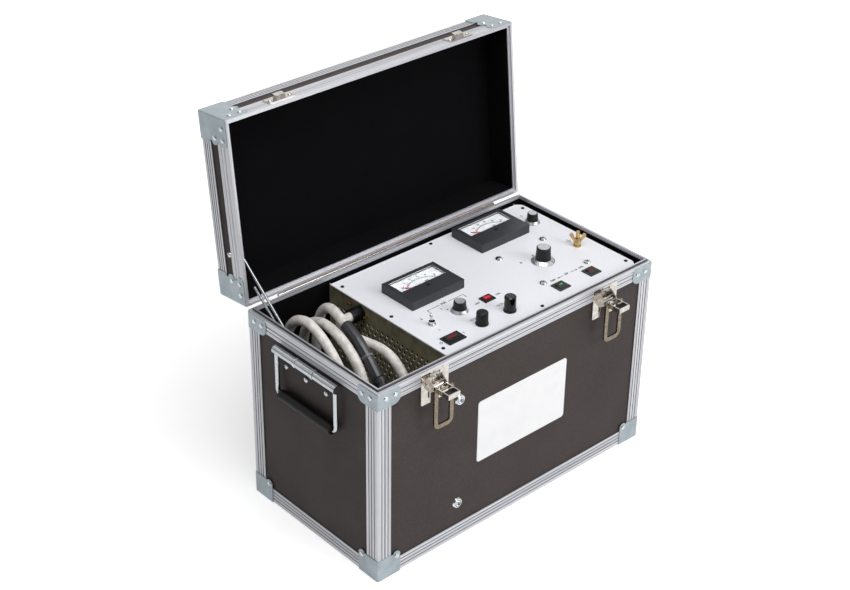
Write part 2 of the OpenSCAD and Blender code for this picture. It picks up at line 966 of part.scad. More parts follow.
// Bright steel fixings: the variable transformer's bolts, the cup-washer screws and the toggle bushing
module bright_fixings() {
    color("#c8cacc") {
        for (sx = [-1, 1], sy = [-1, 1])
            translate([variac_c[0] + sx * variac_bolt / 2, variac_c[1] + sy * variac_bolt / 2, zp]) {
                dome(6, 3.4);
                translate([0, 0, -plate_t - 14])
                    cylinder(r = 3, h = plate_t + 14);
            }
        for (p = cup_xz)
            translate([p[0], edge_t - hy, p[1]])
                rotate([90, 0, 0]) {
                    difference() {
                        cylinder(r1 = 9, r2 = 7.6, h = 2.2);
                        translate([0, 0, 1])
                            cylinder(r = 6.2, h = 3);
                    }
                    dome(5.2, 3);
                    translate([0, 0, -panel_t - felt_t - 3])
                        cylinder(r = 2, h = panel_t + felt_t + 3);
                }
        translate([toggle_c[0], toggle_c[1], zp])
            difference() {
                union() {
                    cylinder(r = 6.4, h = 2.6, $fn = 6);
                    cylinder(r = 4.6, h = 7);
                    translate([0, 0, -plate_t - 2])
                        cylinder(r = 3.2, h = plate_t + 3);
                    translate([-6.5, -6.5, -plate_t - 20])
                        cube([13, 13, 20]);
                }
                translate([0, 0, -1])
                    cylinder(r1 = 2.7, r2 = 3.8, h = 8.1);
            }
    }
}

// Panel meter: a black case with a hollow for the dial, under a clear window and a solid lower cover
window_w = 89;
dial_y0 = -31;
window_y0 = -2;
window_y1 = 29;
pivot_y = -22;
module meter_case() {
    difference() {
        union() {
            translate([-meter_w / 2, -meter_d / 2, 0])
                cube([meter_w, meter_d, meter_h]);
            translate([0, 0, -plate_t - meter_body])
                cylinder(r = meter_body_r, h = plate_t + meter_body + 1);
        }
        box([-window_w / 2, dial_y0, dial_z], [window_w / 2, window_y1, cover_z]);
        box([-window_w / 2, window_y0, dial_z], [window_w / 2, window_y1, meter_h + 1]);
    }
}

module meter_cases() {
    color("#26272a")
        for (m = meters)
            translate([m[0], m[1], zp])
                meter_case();
}

module meter_dials() {
    w = window_w / 2 - seat;
    color("#f0f0ec")
        for (m = meters)
            translate([m[0], m[1], zp + dial_z]) {
                box([-w, dial_y0 + seat, 0], [w, window_y1 - seat, dial_t]);
                translate([0, pivot_y, 0])
                    cylinder(r = 1.2, h = needle_z - dial_z + needle_t + 0.2);
            }
}

module meter_windows() {
    w = window_w / 2 - seat;
    color([0.85, 0.9, 0.92, 0.35])
        for (m = meters)
            translate([m[0], m[1], zp])
                box([-w, window_y0 + seat, cover_z + 0.1], [w, window_y1 - seat, meter_h - 1]);
}

module pointer(m) {
    color("#a01818")
        translate([m[0], m[1] + pivot_y, zp + needle_z])
            rotate([0, 0, 135]) {
                difference() {
                    cylinder(r = 3, h = needle_t);
                    translate([0, 0, -1])
                        cylinder(r = 1.2 + run_fit, h = 4);
                }
                box([2.6, -0.8, 0.2], [45, 0.8, needle_t - 0.2]);
                box([-8, -1.2, 0.1], [-2.6, 1.2, needle_t - 0.1]);
            }
}

module pointer_left() {
    pointer(meters[0]);
}

module pointer_right() {
    pointer(meters[1]);
}

// Rocker switches: a flanged housing and a rocker that tips in it
module switch_bezels() {
    color("#1b1b1d")
        for (k = rockers)
            translate([k[0], k[1], zp])
                difference() {
                    union() {
                        translate([-k[2] / 2, -k[3] / 2, 0])
                            cube([k[2], k[3], 2]);
                        translate([2 - k[2] / 2, 2 - k[3] / 2, -plate_t - 22])
                            cube([k[2] - 4, k[3] - 4, plate_t + 23]);
                    }
                    translate([4.2 - k[2] / 2, 3.6 - k[3] / 2, -6])
                        cube([k[2] - 8.4, k[3] - 7.2, 20]);
                    translate([0, 0, -0.5])
                        rotate([0, 90, 0])
                            cylinder(r = 1 + run_fit, h = k[2] - 6, center = true);
                }
}

module rocker(k) {
    w = k[2] - 8.4 - 2 * gap;
    d = k[3] - 7.2 - 2 * gap;
    translate([k[0], k[1], zp - 0.5])
        rotate([rocker_tilt, 0, 0]) {
            translate([-w / 2, 0, 0])
                rotate([90, 0, 90])
                    linear_extrude(w)
                        polygon([[-d / 2 + 0.5, -3], [d / 2 - 0.5, -3], [d / 2 - 0.4, 3.8], [0, 3], [0.4 - d / 2, 3.8]]);
            rotate([0, 90, 0])
                cylinder(r = 1, h = k[2] - 6.6, center = true);
        }
}

module rocker_power() {
    color("#201416")
        rocker(rockers[0]);
}

module rocker_hv_on() {
    color("#242426")
        rocker(rockers[1]);
}

module rocker_hv_off() {
    color("#242426")
        rocker(rockers[2]);
}

module rocker_alarm() {
    color("#b3202c")
        rocker(rockers[3]);
}

// Fuse holders: a threaded body through the panel and a cap that turns on its pin
module fuse_holders() {
    color("#202022")
        for (c = [fuse_low_c, fuse_tall_c])
            translate([c[0], c[1], zp]) {
                cylinder(r = fuse_cap_r + 1, h = 2.4);
                translate([0, 0, -plate_t - 34])
                    cylinder(r = 7, h = plate_t + 35);
                cylinder(r = 3, h = 12);
            }
}

module fuse_cap(c, h, flutes) {
    color("#161618")
        translate([c[0], c[1], zp + 2.4 + 0.3])
            difference() {
                union() {
                    cylinder(r = fuse_cap_r, h = h - 1.4);
                    translate([0, 0, h - 1.4])
                        cylinder(r1 = fuse_cap_r, r2 = fuse_cap_r - 1.4, h = 1.4);
                }
                translate([0, 0, -1])
                    cylinder(r = 3 + run_fit, h = 13);
                if (flutes > 0)
                    for (i = [0 : flutes - 1])
                        rotate([0, 0, 360 / flutes * i])
                            translate([fuse_cap_r + 0.7, 0, 2.5])
                                cylinder(r = 1.5, h = h, $fn = 16);
            }
}

module fuse_cap_low() {
    fuse_cap(fuse_low_c, fuse_low_h, 14);
}

module fuse_cap_tall() {
    fuse_cap(fuse_tall_c, fuse_tall_h, 0);
}

module toggle_lever() {
    color("#dadbdd")
        translate([toggle_c[0], toggle_c[1], zp + 1.4])
            rotate([-9, 0, 0]) {
                sphere(r = 2.3, $fn = 24);
                rotate([0, 90, 0])
                    cylinder(r = 0.7, h = 4.9, center = true);
                cylinder(r1 = 1.3, r2 = 2.6, h = 14);
                translate([0, 0, 14])
                    sphere(r = 2.6, $fn = 24);
            }
}

// Earth terminal: a brass stud with a collar, and a wing nut that turns on it
module earth_post() {
    color("#b98d3e")
        translate([earth_c[0], earth_c[1], zp]) {
            cylinder(r = 6.4, h = 2.2);
            translate([0, 0, 2.2])
                cylinder(r = 5.6, h = 4, $fn = 6);
            translate([0, 0, -plate_t - 12])
                cylinder(r = 3, h = plate_t + 38);
            translate([0, 0, -plate_t - 5])
                cylinder(r = 5.6, h = 5, $fn = 6);
        }
}

module wing_nut() {
    color("#c79a48")
        translate([earth_c[0], earth_c[1], zp + 6.6])
            difference() {
                union() {
                    cylinder(r1 = 6, r2 = 4.6, h = 8);
                    for (s = [0, 180])
                        rotate([0, 0, s - 45])
                            rotate([90, 0, 0])
                                linear_extrude(2.6, center = true) {
                                    polygon([[3.4, 1], [5.4, 1.5], [12.5, 11], [10, 16], [7.6, 15], [4.2, 6]]);
                                    translate([10, 12.8])
                                        circle(r = 3.2, $fn = 24);
                                }
                }
                translate([0, 0, -1])
                    cylinder(r = 3 + run_fit, h = 30);
            }
}

// Control knob with a sloping skirt; the shaft goes through the panel
module knob(c, r, h, skirt_r, shaft, flutes) {
    translate([c[0], c[1], zp]) {
        difference() {
            union() {
                translate([0, 0, 0.6])
                    cylinder(r1 = skirt_r, r2 = r + 1.5, h = 4);
                translate([0, 0, 4])
                    cylinder(r1 = r + 0.3, r2 = r - 0.5, h = h - 5);
                translate([0, 0, h - 1])
                    cylinder(r1 = r - 0.5, r2 = r - 1.3, h = 1);
            }
            for (i = [0 : flutes - 1])
                rotate([0, 0, 360 / flutes * i])
                    translate([r + 0.9, 0, 5.2])
                        cylinder(r = 1.5, h = h, $fn = 16);
        }
        translate([0, 0, -plate_t - shaft])
            cylinder(r = 3, h = plate_t + shaft + 2);
    }
}

variac_z = zb - 14;
module output_knob() {
    color("#1d1d1f")
        knob(variac_c, knob_r, knob_h, knob_skirt, 30, 16);
}

module range_knob() {
    color("#1d1d1f")
        knob(range_c, small_knob_r, small_knob_h, small_skirt, 16, 14);
}

module mode_knob() {
    color("#1d1d1f")
        knob(mode_c, small_knob_r - 0.8, small_knob_h, small_skirt - 1, 16, 14);
}

// Variable transformer under the panel: a wound ring core on its plate, with a brush arm on the knob's shaft
module variac() {
    color("#a4632e")
        translate([variac_c[0], variac_c[1], variac_z]) {
            difference() {
                union() {
                    translate([0, 0, -18 - variac_h])
                        cylinder(r = variac_r, h = variac_h, $fn = 64);
                    translate([0, 0, -18])
                        cylinder(r = 40, h = 12);
                    translate([2 - variac_r, 2 - variac_r, -6])
                        cube([2 * variac_r - 4, 2 * variac_r - 4, 6]);
                }
                translate([0, 0, -32 - variac_h])
                    cylinder(r = 0.45 * variac_r, h = variac_h + 14);
                translate([0, 0, -20])
                    cylinder(r = 3 + run_fit, h = 40);
                for (sx = [-1, 1], sy = [-1, 1])
                    translate([sx * variac_bolt / 2, sy * variac_bolt / 2, -3])
                        cylinder(r = 3 + seat, h = 20);
            }
            for (sx = [-1, 1], sy = [-1, 1])
                translate([sx * variac_bolt / 2, sy * variac_bolt / 2, 0])
                    difference() {
                        cylinder(r = 6, h = 14);
                        translate([0, 0, -1])
                            cylinder(r = 3 + seat, h = 20);
                    }
        }
}

// Brush arm: clamped on the shaft between the core plate and the panel
module output_wiper() {
    color("#7d6a44")
        translate([variac_c[0], variac_c[1], variac_z + 2]) {
            difference() {
                union() {
                    cylinder(r = 9, h = 7);
                    box([0, -5, 2], [44, 5, 6]);
                }
                translate([0, 0, -1])
                    cylinder(r = 3 + seat, h = 12);
            }
            translate([40, -4, -1.6])
                cube([7, 8, 4]);
        }
}

// High-voltage transformer: a laminated core with its potted winding
module hv_transformer() {
    z0 = floor_t + sheet_t;
    x0 = chassis_x0 + 64;
    x1 = x0 + core_w;
    limb = core_h / 5;
    w = core_d / 4;
    color("#35383c") {
        difference() {
            box([x0, -core_d / 2, z0], [x1, core_d / 2, z0 + core_h]);
            box([x0 - 1, -w - seat, z0 + limb], [x1 + 1, w + seat, z0 + core_h - limb]);
        }
        box([x0, -w, z0 + limb + seat], [x1, w, z0 + core_h - limb - seat]);
        for (s = [-1, 1])
            box([x0 - 20, s * (core_d / 2 - 10) - 10, z0], [x1 + 20, s * (core_d / 2 - 10) + 10, z0 + 4]);
    }
}

module control_board() {
    z0 = floor_t + sheet_t;
    x1 = chassis_x1 - 13;
    x0 = x1 - board_w;
    y0 = chassis_y - 35;
    y1 = y0 + 1.6;
    color("#2f6b3a") {
        box([x0, y0, z0 + 8], [x1, y1, z0 + 8 + board_h]);
        for (x = [x0 + 8, x1 - 8]) {
            box([x - 5, y1, z0 + 14], [x + 5, chassis_y - sheet_t - 14, z0 + 22]);
            box([x - 5, y1, z0], [x + 5, y0 + 14, z0 + 20]);
        }
        box([x0 + 16, y0 - 24, z0 + 76], [x0 + 60, y0, z0 + 126]);
        box([x0 + 76, y0 - 18, z0 + 76], [x0 + 126, y0, z0 + 110]);
    }
}

// Cable gland on the chassis wall: a ribbed sleeve and a clamp with two screws
module cable_gland() {
    color("#1a1a1b")
        translate([chassis_x0, gland_c[0], gland_c[1]])
            rotate([0, -90, 0])
                difference() {
                    union() {
                        translate([0, 0, -6])
                            cylinder(r = 8, h = 8);
                        cylinder(r = 13, h = 4, $fn = 6);
                        translate([0, 0, 4])
                            cylinder(r = 10.4, h = gland_len - 4);
                        for (z = [5.5 : 4 : gland_len - 2.5])
                            translate([0, 0, z])
                                cylinder(r = 11.6, h = 2);
                        translate([0, 0, -sheet_t - 5])
                            cylinder(r = 11, h = 5, $fn = 6);
                    }
                    translate([0, 0, 10 - 2 * gap])
                        cylinder(r = lead_r + 2 * gap, h = gland_len);
                }
}

// Catmull-Rom point on the route p at segment i, fraction t
function at(p, i) = p[max(0, min(len(p) - 1, i))];
function spline(p, i, t) =
    let (a = at(p, i - 1), b = at(p, i), c = at(p, i + 1), d = at(p, i + 2))
    0.5 * (2 * b + (c - a) * t + (2 * a - 5 * b + 4 * c - d) * t * t + (3 * b - a - 3 * c + d) * t * t * t);
function route(p, n) = [for (i = [0 : len(p) - 2], k = [0 : n - 1]) spline(p, i, k / n), p[len(p) - 1]];
function unit(v) = v / norm(v);
function tangent(q, i) = unit(q[min(i + 1, len(q) - 1)] - q[max(i - 1, 0)]);
// Ring frames carried along the route, so the tube doesn't twist
function carry(q, i, u) = let (t = tangent(q, i)) unit(u - (u * t) * t);
function frames(q, i = 0, u = [0.1, 0.3, 1]) =
    i >= len(q) ? [] : let (v = carry(q, i, u)) concat([v], frames(q, i + 1, v));

module tube(p, n, r, sides) {
    q = route(p, n);
    f = frames(q);
    m = len(q);
    pts = [for (i = [0 : m - 1], k = [0 : sides - 1])
        let (t = tangent(q, i), u = f[i], w = cross(t, u), a = 360 * k / sides)
        q[i] + r * (cos(a) * u + sin(a) * w)];
    quads = [for (i = [0 : m - 2], k = [0 : sides - 1])
        let (a = i * sides + k, b = i * sides + (k + 1) % sides)
        [a, a + sides, b + sides, b]];
    first = [for (k = [0 : sides - 1]) k];
    last = [for (k = [sides - 1 : -1 : 0]) (m - 1) * sides + k];
    polyhedron(concat(pts), concat([first], quads, [last]));
}

module hv_cable() {
    color("#d8d6d0")
        translate([chassis_x0, 0, 0])
            tube(lead_pts, 2, lead_r, 10);
}

module cable_plug() {
    e = plug_pts[len(plug_pts) - 1];
    v = unit(plug_dir);
    color("#17181a")
        translate([chassis_x0, 0, 0]) {
            tube(plug_pts, 3, lead_r + 1.2, 12);
            bar(e, e + plug_len * v, lead_r + 3.3);
            for (d = [4, 11, 18])
                bar(e + d * v, e + (d + 4) * v, lead_r + 4.7);
        }
}

// Lid pieces, drawn closed
module lid_rim_section() {
    difference() {
        polygon([[0, shut_gap], [tongue_u0 - 0.7, shut_gap], [tongue_u0 - 0.7, groove_h], [rim_w, groove_h],
            [rim_w, groove_h + 2], [edge_t, groove_h + 2], [edge_t, lid_rim_h], [0, lid_rim_h]]);
        ribs(3, lid_rim_h, 2);
    }
}

module lid_rim() {
    color("#cfd1d6")
        lid_pose()
            translate([0, 0, base_h])
                perimeter()
                    lid_rim_section();
}

module lid_edges() {
    color("#c9cbd0")
        lid_pose()
            translate([0, 0, lid_top])
                mirror([0, 0, 1])
                    perimeter()
                        edge_section(lid_edge_w);
}

module lid_panels() {
    z0 = base_h + groove_h + 2;
    z1 = lid_top - edge_t;
    px = hx - edge_t;
    py = hy - edge_t;
    color("#4a423f")
        lid_pose() {
            for (s = [-1, 1]) {
                translate([0, s * (py - panel_t / 2), (z0 + z1 - panel_t) / 2])
                    cube([2 * px, panel_t, z1 - z0 - panel_t - 2 * seat], center = true);
                translate([s * (px - panel_t / 2), 0, (z0 + z1 - panel_t) / 2])
                    cube([panel_t, 2 * (py - panel_t - seat), z1 - z0 - panel_t - 2 * seat], center = true);
            }
            box([-px, -py, z1 - panel_t], [px, py, z1]);
        }
}

// Face plate of a lid corner cap: covers the lid's full height, with lobes for the rivets on the rim and strip
lid_cap_low = tongue_h - 1.5;
lid_lobe = 7;
lid_lobes = [[cap_leg - 5, lid_cap_low + lid_lobe + 1], [cap_leg - 5, 31]];
lid_cap_rivets = [[15, 11], [33, 11], [33, 30]];
module lid_cap_face() {
    translate([-cap_t, lid_cap_low])
        square([cap_leg - 4 + cap_t, lid_h - lid_cap_low]);
    translate([cap_leg - 5, lid_h - lid_edge_w + 2])
        square([5, lid_edge_w - 2]);
    for (p = lid_lobes)
        translate(p)
            circle(r = lid_lobe);
}

module lid_corner_caps() {
    color("#b4bec2")
        lid_pose()
            corners()
                difference() {
                    union() {
                        on_front(base_h)
                            lid_cap_face();
                        on_side(base_h)
                            lid_cap_face();
                        translate([-cap_t, -cap_t, lid_top])
                            linear_extrude(cap_t)
                                difference() {
                                    square(cap_leg + cap_t);
                                    polygon([[60, 28], [60, 60], [28, 60]]);
                                }
                        translate([-cap_t, -cap_t, base_h + lid_cap_low])
                            cube([cap_t, cap_t, lid_h - lid_cap_low]);
                    }
                    corner_round(lid_top + cap_t);
                }
}

module lid_rivets() {
    color("#aab2b6")
        lid_pose()
            corners()
                for (p = lid_cap_rivets) {
                    translate([p[0], -cap_t, base_h + p[1]])
                        rotate([90, 0, 0])
                            dome(rivet_r, rivet_h);
                    translate([-cap_t, p[0], base_h + p[1]])
                        rotate([0, -90, 0])
                            dome(rivet_r, rivet_h);
                }
}

module lid_lining() {
    z0 = base_h + groove_h + 2;
    z1 = lid_top - edge_t - panel_t;
    color("#151515")
        lid_pose()
            difference() {
                box([-ix - felt_t, -iy - felt_t, z0], [ix + felt_t, iy + felt_t, z1]);
                box([-ix, -iy, z0 - 1], [ix, iy, z1 - felt_t]);
            }
}

// Latch strikes on the lid's front face: a plate with a hooked lip for the bail
module lid_strikes() {
    color("#c3c0b8")
        lid_pose()
            for (s = [-1, 1])
                translate([s * latch_x, -hy, base_h]) {
                    translate([-23, -1.4, 4])
                        cube([46, 1.4, 19]);
                    translate([0, -1.4, 14])
                        rotate([90, 0, 90])
                            linear_extrude(lever_w - 5, center = true)
                                polygon([[0.2, -6], [-4.5, -3], [-6.5, 1], [-6.5, 5], [-4.6, 6.5], [-4.6, 1], [-2.4, 0],
                                    [-2.4, 3], [0.2, 3]]);
                    for (d = [-18, 18])
                        translate([d, -1.4, 12])
                            rotate([90, 0, 0])
                                dome(3.2, 1.6);
                }
}

base_panels();
base_edges();
base_rim();
base_corner_plates();
base_rivets();
base_lining();
hinge_base_leaf();
hinge_pin();
stay_stud();
latch_plates();
handle_plates();
chassis();
control_panel();
panel_screws();
bright_fixings();
meter_cases();
meter_dials();
meter_windows();
switch_bezels();
fuse_holders();
earth_post();
cable_gland();
hv_cable();
cable_plug();
variac();
hv_transformer();
control_board();
lid_panels();
lid_edges();
lid_rim();
lid_corner_caps();
lid_rivets();
lid_lining();
lid_strikes();
hinge_lid_leaf();
stay_bracket();
stay_arm();
latch_lever_left();
latch_lever_right();
latch_bail_left();
latch_bail_right();
handle_bail_left();
handle_bail_right();
handle_grip_left();
handle_grip_right();
output_knob();
output_wiper();
range_knob();
mode_knob();
pointer_left();
pointer_right();
rocker_power();
rocker_hv_on();
rocker_hv_off();
rocker_alarm();
fuse_cap_low();
fuse_cap_tall();
toggle_lever();
wing_nut();
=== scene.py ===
# %% [markdown]
# A portable high-voltage test set stands in an open transit case. The CAD frame already holds every
# piece at its real size, so this lesson only dresses it: camera, light, finishes, print and the lead.

# %% Load the CAD frame
import math

import bmesh
import bpy
from mathutils import Matrix, Vector


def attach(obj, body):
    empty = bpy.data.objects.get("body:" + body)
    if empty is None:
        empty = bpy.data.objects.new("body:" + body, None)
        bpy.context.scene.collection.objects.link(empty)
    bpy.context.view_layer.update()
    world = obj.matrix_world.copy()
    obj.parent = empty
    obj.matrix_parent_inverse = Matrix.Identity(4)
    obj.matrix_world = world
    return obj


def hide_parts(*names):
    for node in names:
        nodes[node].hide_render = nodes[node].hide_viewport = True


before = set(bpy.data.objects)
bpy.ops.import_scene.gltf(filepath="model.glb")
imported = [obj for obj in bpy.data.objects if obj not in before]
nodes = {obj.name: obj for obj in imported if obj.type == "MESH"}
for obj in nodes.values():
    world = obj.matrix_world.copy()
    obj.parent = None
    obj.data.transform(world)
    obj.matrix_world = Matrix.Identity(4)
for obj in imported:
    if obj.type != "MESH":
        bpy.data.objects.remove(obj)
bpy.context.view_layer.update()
MM = 0.001

# %% [markdown]
# A camera can be placed by eye, but the corners of a box fix it exactly: three sets of parallel edges
# give the view direction, the roll and the lens. These values were worked out from the case corners.

# %% Camera
IMAGE_WIDTH, FOCAL_PIXELS = 850, 1697.66
SENSOR_MM = 36
CAMERA_PLACE = (-1.51983, -1.59867, 1.64694)
azimuth, elevation, roll = math.radians(-42.364), math.radians(31.165), math.radians(-0.836)


def show(thing):
    """Puts an object into the scene."""
    bpy.context.scene.collection.objects.link(thing)
    return thing


forward = Vector((-math.sin(azimuth) * math.cos(elevation), math.cos(azimuth) * math.cos(elevation),
                  -math.sin(elevation)))
level_right = forward.cross(Vector((0, 0, 1))).normalized()
level_down = forward.cross(level_right)
right = math.cos(roll) * level_right + math.sin(roll) * level_down
down = math.cos(roll) * level_down - math.sin(roll) * level_right
camera = show(bpy.data.objects.new("camera", bpy.data.cameras.new("camera")))
camera.data.sensor_width = SENSOR_MM
camera.data.lens = SENSOR_MM * FOCAL_PIXELS / IMAGE_WIDTH
axes = Matrix((right, -down, -forward)).transposed().to_4x4()
camera.matrix_world = Matrix.Translation(CAMERA_PLACE) @ axes
bpy.context.scene.camera = camera
bpy.context.scene.view_settings.view_transform = "Standard"
print("lens", round(camera.data.lens, 1), "mm")

# %% [markdown]
# Every finish is a node tree. One function turns a hex colour, as a designer would write it, into the
# linear light that Cycles works in, and one adds a node with its settings and links. A finish is then
# a fine grain for the colour, a wide pattern for the gloss, and a bump where the real surface has relief.

# %% Helpers for finishes
GRAIN_LOW, GRAIN_HIGH = 0.3, 0.7
GLOSS_LOW, GLOSS_HIGH = 0.12, 0.38


def linear(code):
    """An sRGB hex colour as linear red, green, blue and alpha."""
    parts = [int(code[i:i + 2], 16) / 255 for i in (1, 3, 5)]
    return [c / 12.92 if c <= 0.04045 else ((c + 0.055) / 1.055) ** 2.4 for c in parts] + [1.0]


def add(tree, kind, inputs=(), **settings):
    """Adds a shader node. inputs maps a socket's name or number to a value or to the socket that feeds it."""
    made = tree.nodes.new("ShaderNode" + kind)
    for name, value in settings.items():
        setattr(made, name, value)
    for key, value in dict(inputs).items():
        if isinstance(value, bpy.types.NodeSocket):
            tree.links.new(value, made.inputs[key])
        else:
            made.inputs[key].default_value = value
    return made


def per_mm(size):
    """The scale at which one feature of a pattern is this many millimetres across."""
    return 1 / (size * MM)


def finish(name, dark, light, grain, rough, metal=0.0, bump=0.0, stretch=(1, 1, 1), turn=0.0, patch=60,
           **sockets):
    """A Principled finish: a grain of that size in mm runs from the dark to the light colour and lifts the
    surface by bump mm, and wide patches change how rough it is. stretch draws the grain out along an axis."""
    mat = bpy.data.materials.new(name)
    mat.use_nodes = True
    tree = mat.node_tree
    shader = tree.nodes["Principled BSDF"]
    place = add(tree, "TexCoord").outputs["Object"]
    lie = add(tree, "Mapping", {"Vector": place, "Rotation": (turn, 0, 0)})
    draw = add(tree, "Mapping", {"Vector": lie.outputs[0], "Scale": [1 / s for s in stretch]})
    fine = add(tree, "TexNoise", {"Vector": draw.outputs[0], "Scale": per_mm(grain), "Detail": 3.0})
    wide = add(tree, "TexNoise", {"Vector": place, "Scale": per_mm(patch), "Detail": 2.0})
    sharp = add(tree, "MapRange", {"Value": fine.outputs["Fac"], "From Min": GRAIN_LOW, "From Max": GRAIN_HIGH})
    # sockets 6 and 7 and output 2 are the ones that a Mix node uses for colour
    colour = add(tree, "Mix", {0: sharp.outputs[0], 6: linear(dark), 7: linear(light)}, data_type="RGBA")
    tree.links.new(colour.outputs[2], shader.inputs["Base Color"])
    both = add(tree, "Math", {0: fine.outputs["Fac"], 1: wide.outputs["Fac"]}, operation="MULTIPLY")
    level = add(tree, "MapRange", {"Value": both.outputs[0], "From Min": GLOSS_LOW, "From Max": GLOSS_HIGH,
                                   "To Min": rough[0], "To Max": rough[1]})
    tree.links.new(level.outputs[0], shader.inputs["Roughness"])
    if bump:
        lift = add(tree, "Bump", {"Height": fine.outputs["Fac"], "Distance": bump * MM, "Strength": 1.0})
        tree.links.new(lift.outputs[0], shader.inputs["Normal"])
    shader.inputs["Metallic"].default_value = metal
    for key, value in sockets.items():
        shader.inputs[key.replace("_", " ")].default_value = value
    return mat


def dress(mat, *names):
    """Gives a finish to whole CAD nodes."""
    for name in names:
        mesh = nodes[name].data
        mesh.materials.clear()
        mesh.materials.append(mat)
    print(mat.name, "on", ", ".join(names))


def dress_faces(name, mat, test):
    """Gives a second finish to those faces of a CAD node whose middle, in mm, and normal pass a test."""
    mesh = nodes[name].data
    mesh.materials.append(mat)
    count = 0
    for face in mesh.polygons:
        if test(face.center / MM, face.normal):
            face.material_index = len(mesh.materials) - 1
            count += 1
    print(name, "has", count, "faces in", mat.name)


# %% [markdown]
# The background is white and the light is soft, as in a product studio. The world lights matt surfaces
# gently and shows as plain white to the camera. In reflections it is a bright backdrop behind the case
# and a dim room in front, so that metal gets its contrast.

# %% World
WORLD_LIGHT, DIM_ROOM, BACKDROP = 0.2, 0.15, 1.0
BACKDROP_WAY, BACKDROP_FROM, BACKDROP_TO = (0.5, 0.65, 0.57), -0.2, 0.9
world = bpy.data.worlds.new("studio")
bpy.context.scene.world = world
world.use_nodes = True
sky = world.node_tree
ray = add(sky, "LightPath")
way = add(sky, "VectorMath", {0: add(sky, "TexCoord").outputs["Generated"], 1: BACKDROP_WAY},
          operation="DOT_PRODUCT")
room = add(sky, "MapRange", {"Value": way.outputs["Value"], "From Min": BACKDROP_FROM, "From Max": BACKDROP_TO,
                             "To Min": DIM_ROOM, "To Max": BACKDROP})
lit = add(sky, "MapRange", {"Value": ray.outputs["Is Glossy Ray"], "To Min": WORLD_LIGHT, "To Max": room.outputs[0]})
seen = add(sky, "Math", {0: ray.outputs["Is Camera Ray"], 1: ray.outputs["Is Transmission Ray"]},
           operation="MAXIMUM")
strength = add(sky, "MapRange", {"Value": seen.outputs[0], "To Min": lit.outputs[0], "To Max": 1.0})
sky.links.new(strength.outputs[0], sky.nodes["Background"].inputs["Strength"])
sky.nodes["Background"].inputs["Color"].default_value = (1, 1, 1, 1)
print("world light", WORLD_LIGHT, "room in reflections", DIM_ROOM, "to", BACKDROP)

# %% [markdown]
# The floor is a disc of matt white paper. A glow that only the camera and reflections see lifts it to
# white away from the case, and leaves the soft shadow near it.

# %% Floor
FLOOR_RADIUS = 6
GLOW_FROM, GLOW_TO = 0.5, 2.0
NEAR_GLOW, FAR_GLOW, MIRRORED = 0.5, 0.95, 0.6
floor_mesh = bpy.data.meshes.new("studio_floor")
disc = bmesh.new()
bmesh.ops.create_circle(disc, cap_ends=True, radius=FLOOR_RADIUS, segments=64)
disc.to_mesh(floor_mesh)
disc.free()
floor = show(bpy.data.objects.new("studio_floor", floor_mesh))
paper = bpy.data.materials.new("white_paper")
paper.use_nodes = True
tree = paper.node_tree
ray = add(tree, "LightPath")
mirrored = add(tree, "Math", {0: ray.outputs["Is Glossy Ray"], 1: MIRRORED}, operation="MULTIPLY")
seen = add(tree, "Math", {0: ray.outputs["Is Camera Ray"], 1: mirrored.outputs[0]}, operation="MAXIMUM")
reach = add(tree, "VectorMath", {0: add(tree, "TexCoord").outputs["Object"]}, operation="LENGTH")
level = add(tree, "MapRange", {"Value": reach.outputs["Value"], "From Min": GLOW_FROM, "From Max": GLOW_TO,
                               "To Min": NEAR_GLOW, "To Max": FAR_GLOW})
glow = add(tree, "Math", {0: seen.outputs[0], 1: level.outputs[0]}, operation="MULTIPLY")
light = add(tree, "Emission", {"Strength": glow.outputs[0]})
matt = add(tree, "BsdfDiffuse", {"Color": linear("#f2f2f2")})
both = add(tree, "AddShader", {0: light.outputs[0], 1: matt.outputs[0]})
tree.links.new(both.outputs[0], tree.nodes["Material Output"].inputs["Surface"])
floor_mesh.materials.append(paper)
print("floor", 2 * FLOOR_RADIUS, "m across")

# %% [markdown]
# Three softboxes light the case: one in front on the right, one above, and a weak one from the left. A
# large lamp gives a soft edge to each shadow.

# %% Lamps
for name, place, aim, size, watts in (
        ("key_softbox", (1.0, -2.5, 1.7), (0, 0, 0.25), 1.6, 46),
        ("top_softbox", (-0.3, -0.5, 2.5), (0, 0, 0.3), 1.6, 42),
        ("side_softbox", (-2.6, 0.2, 1.5), (0, 0, 0.3), 1.2, 1)):
    lamp = bpy.data.lights.new(name, "AREA")
    lamp.size = size
    lamp.energy = watts
    softbox = show(bpy.data.objects.new(name, lamp))
    softbox.location = place
    softbox.rotation_euler = (Vector(aim) - Vector(place)).to_track_quat("-Z", "Y").to_euler()
    print(name, watts, "W")
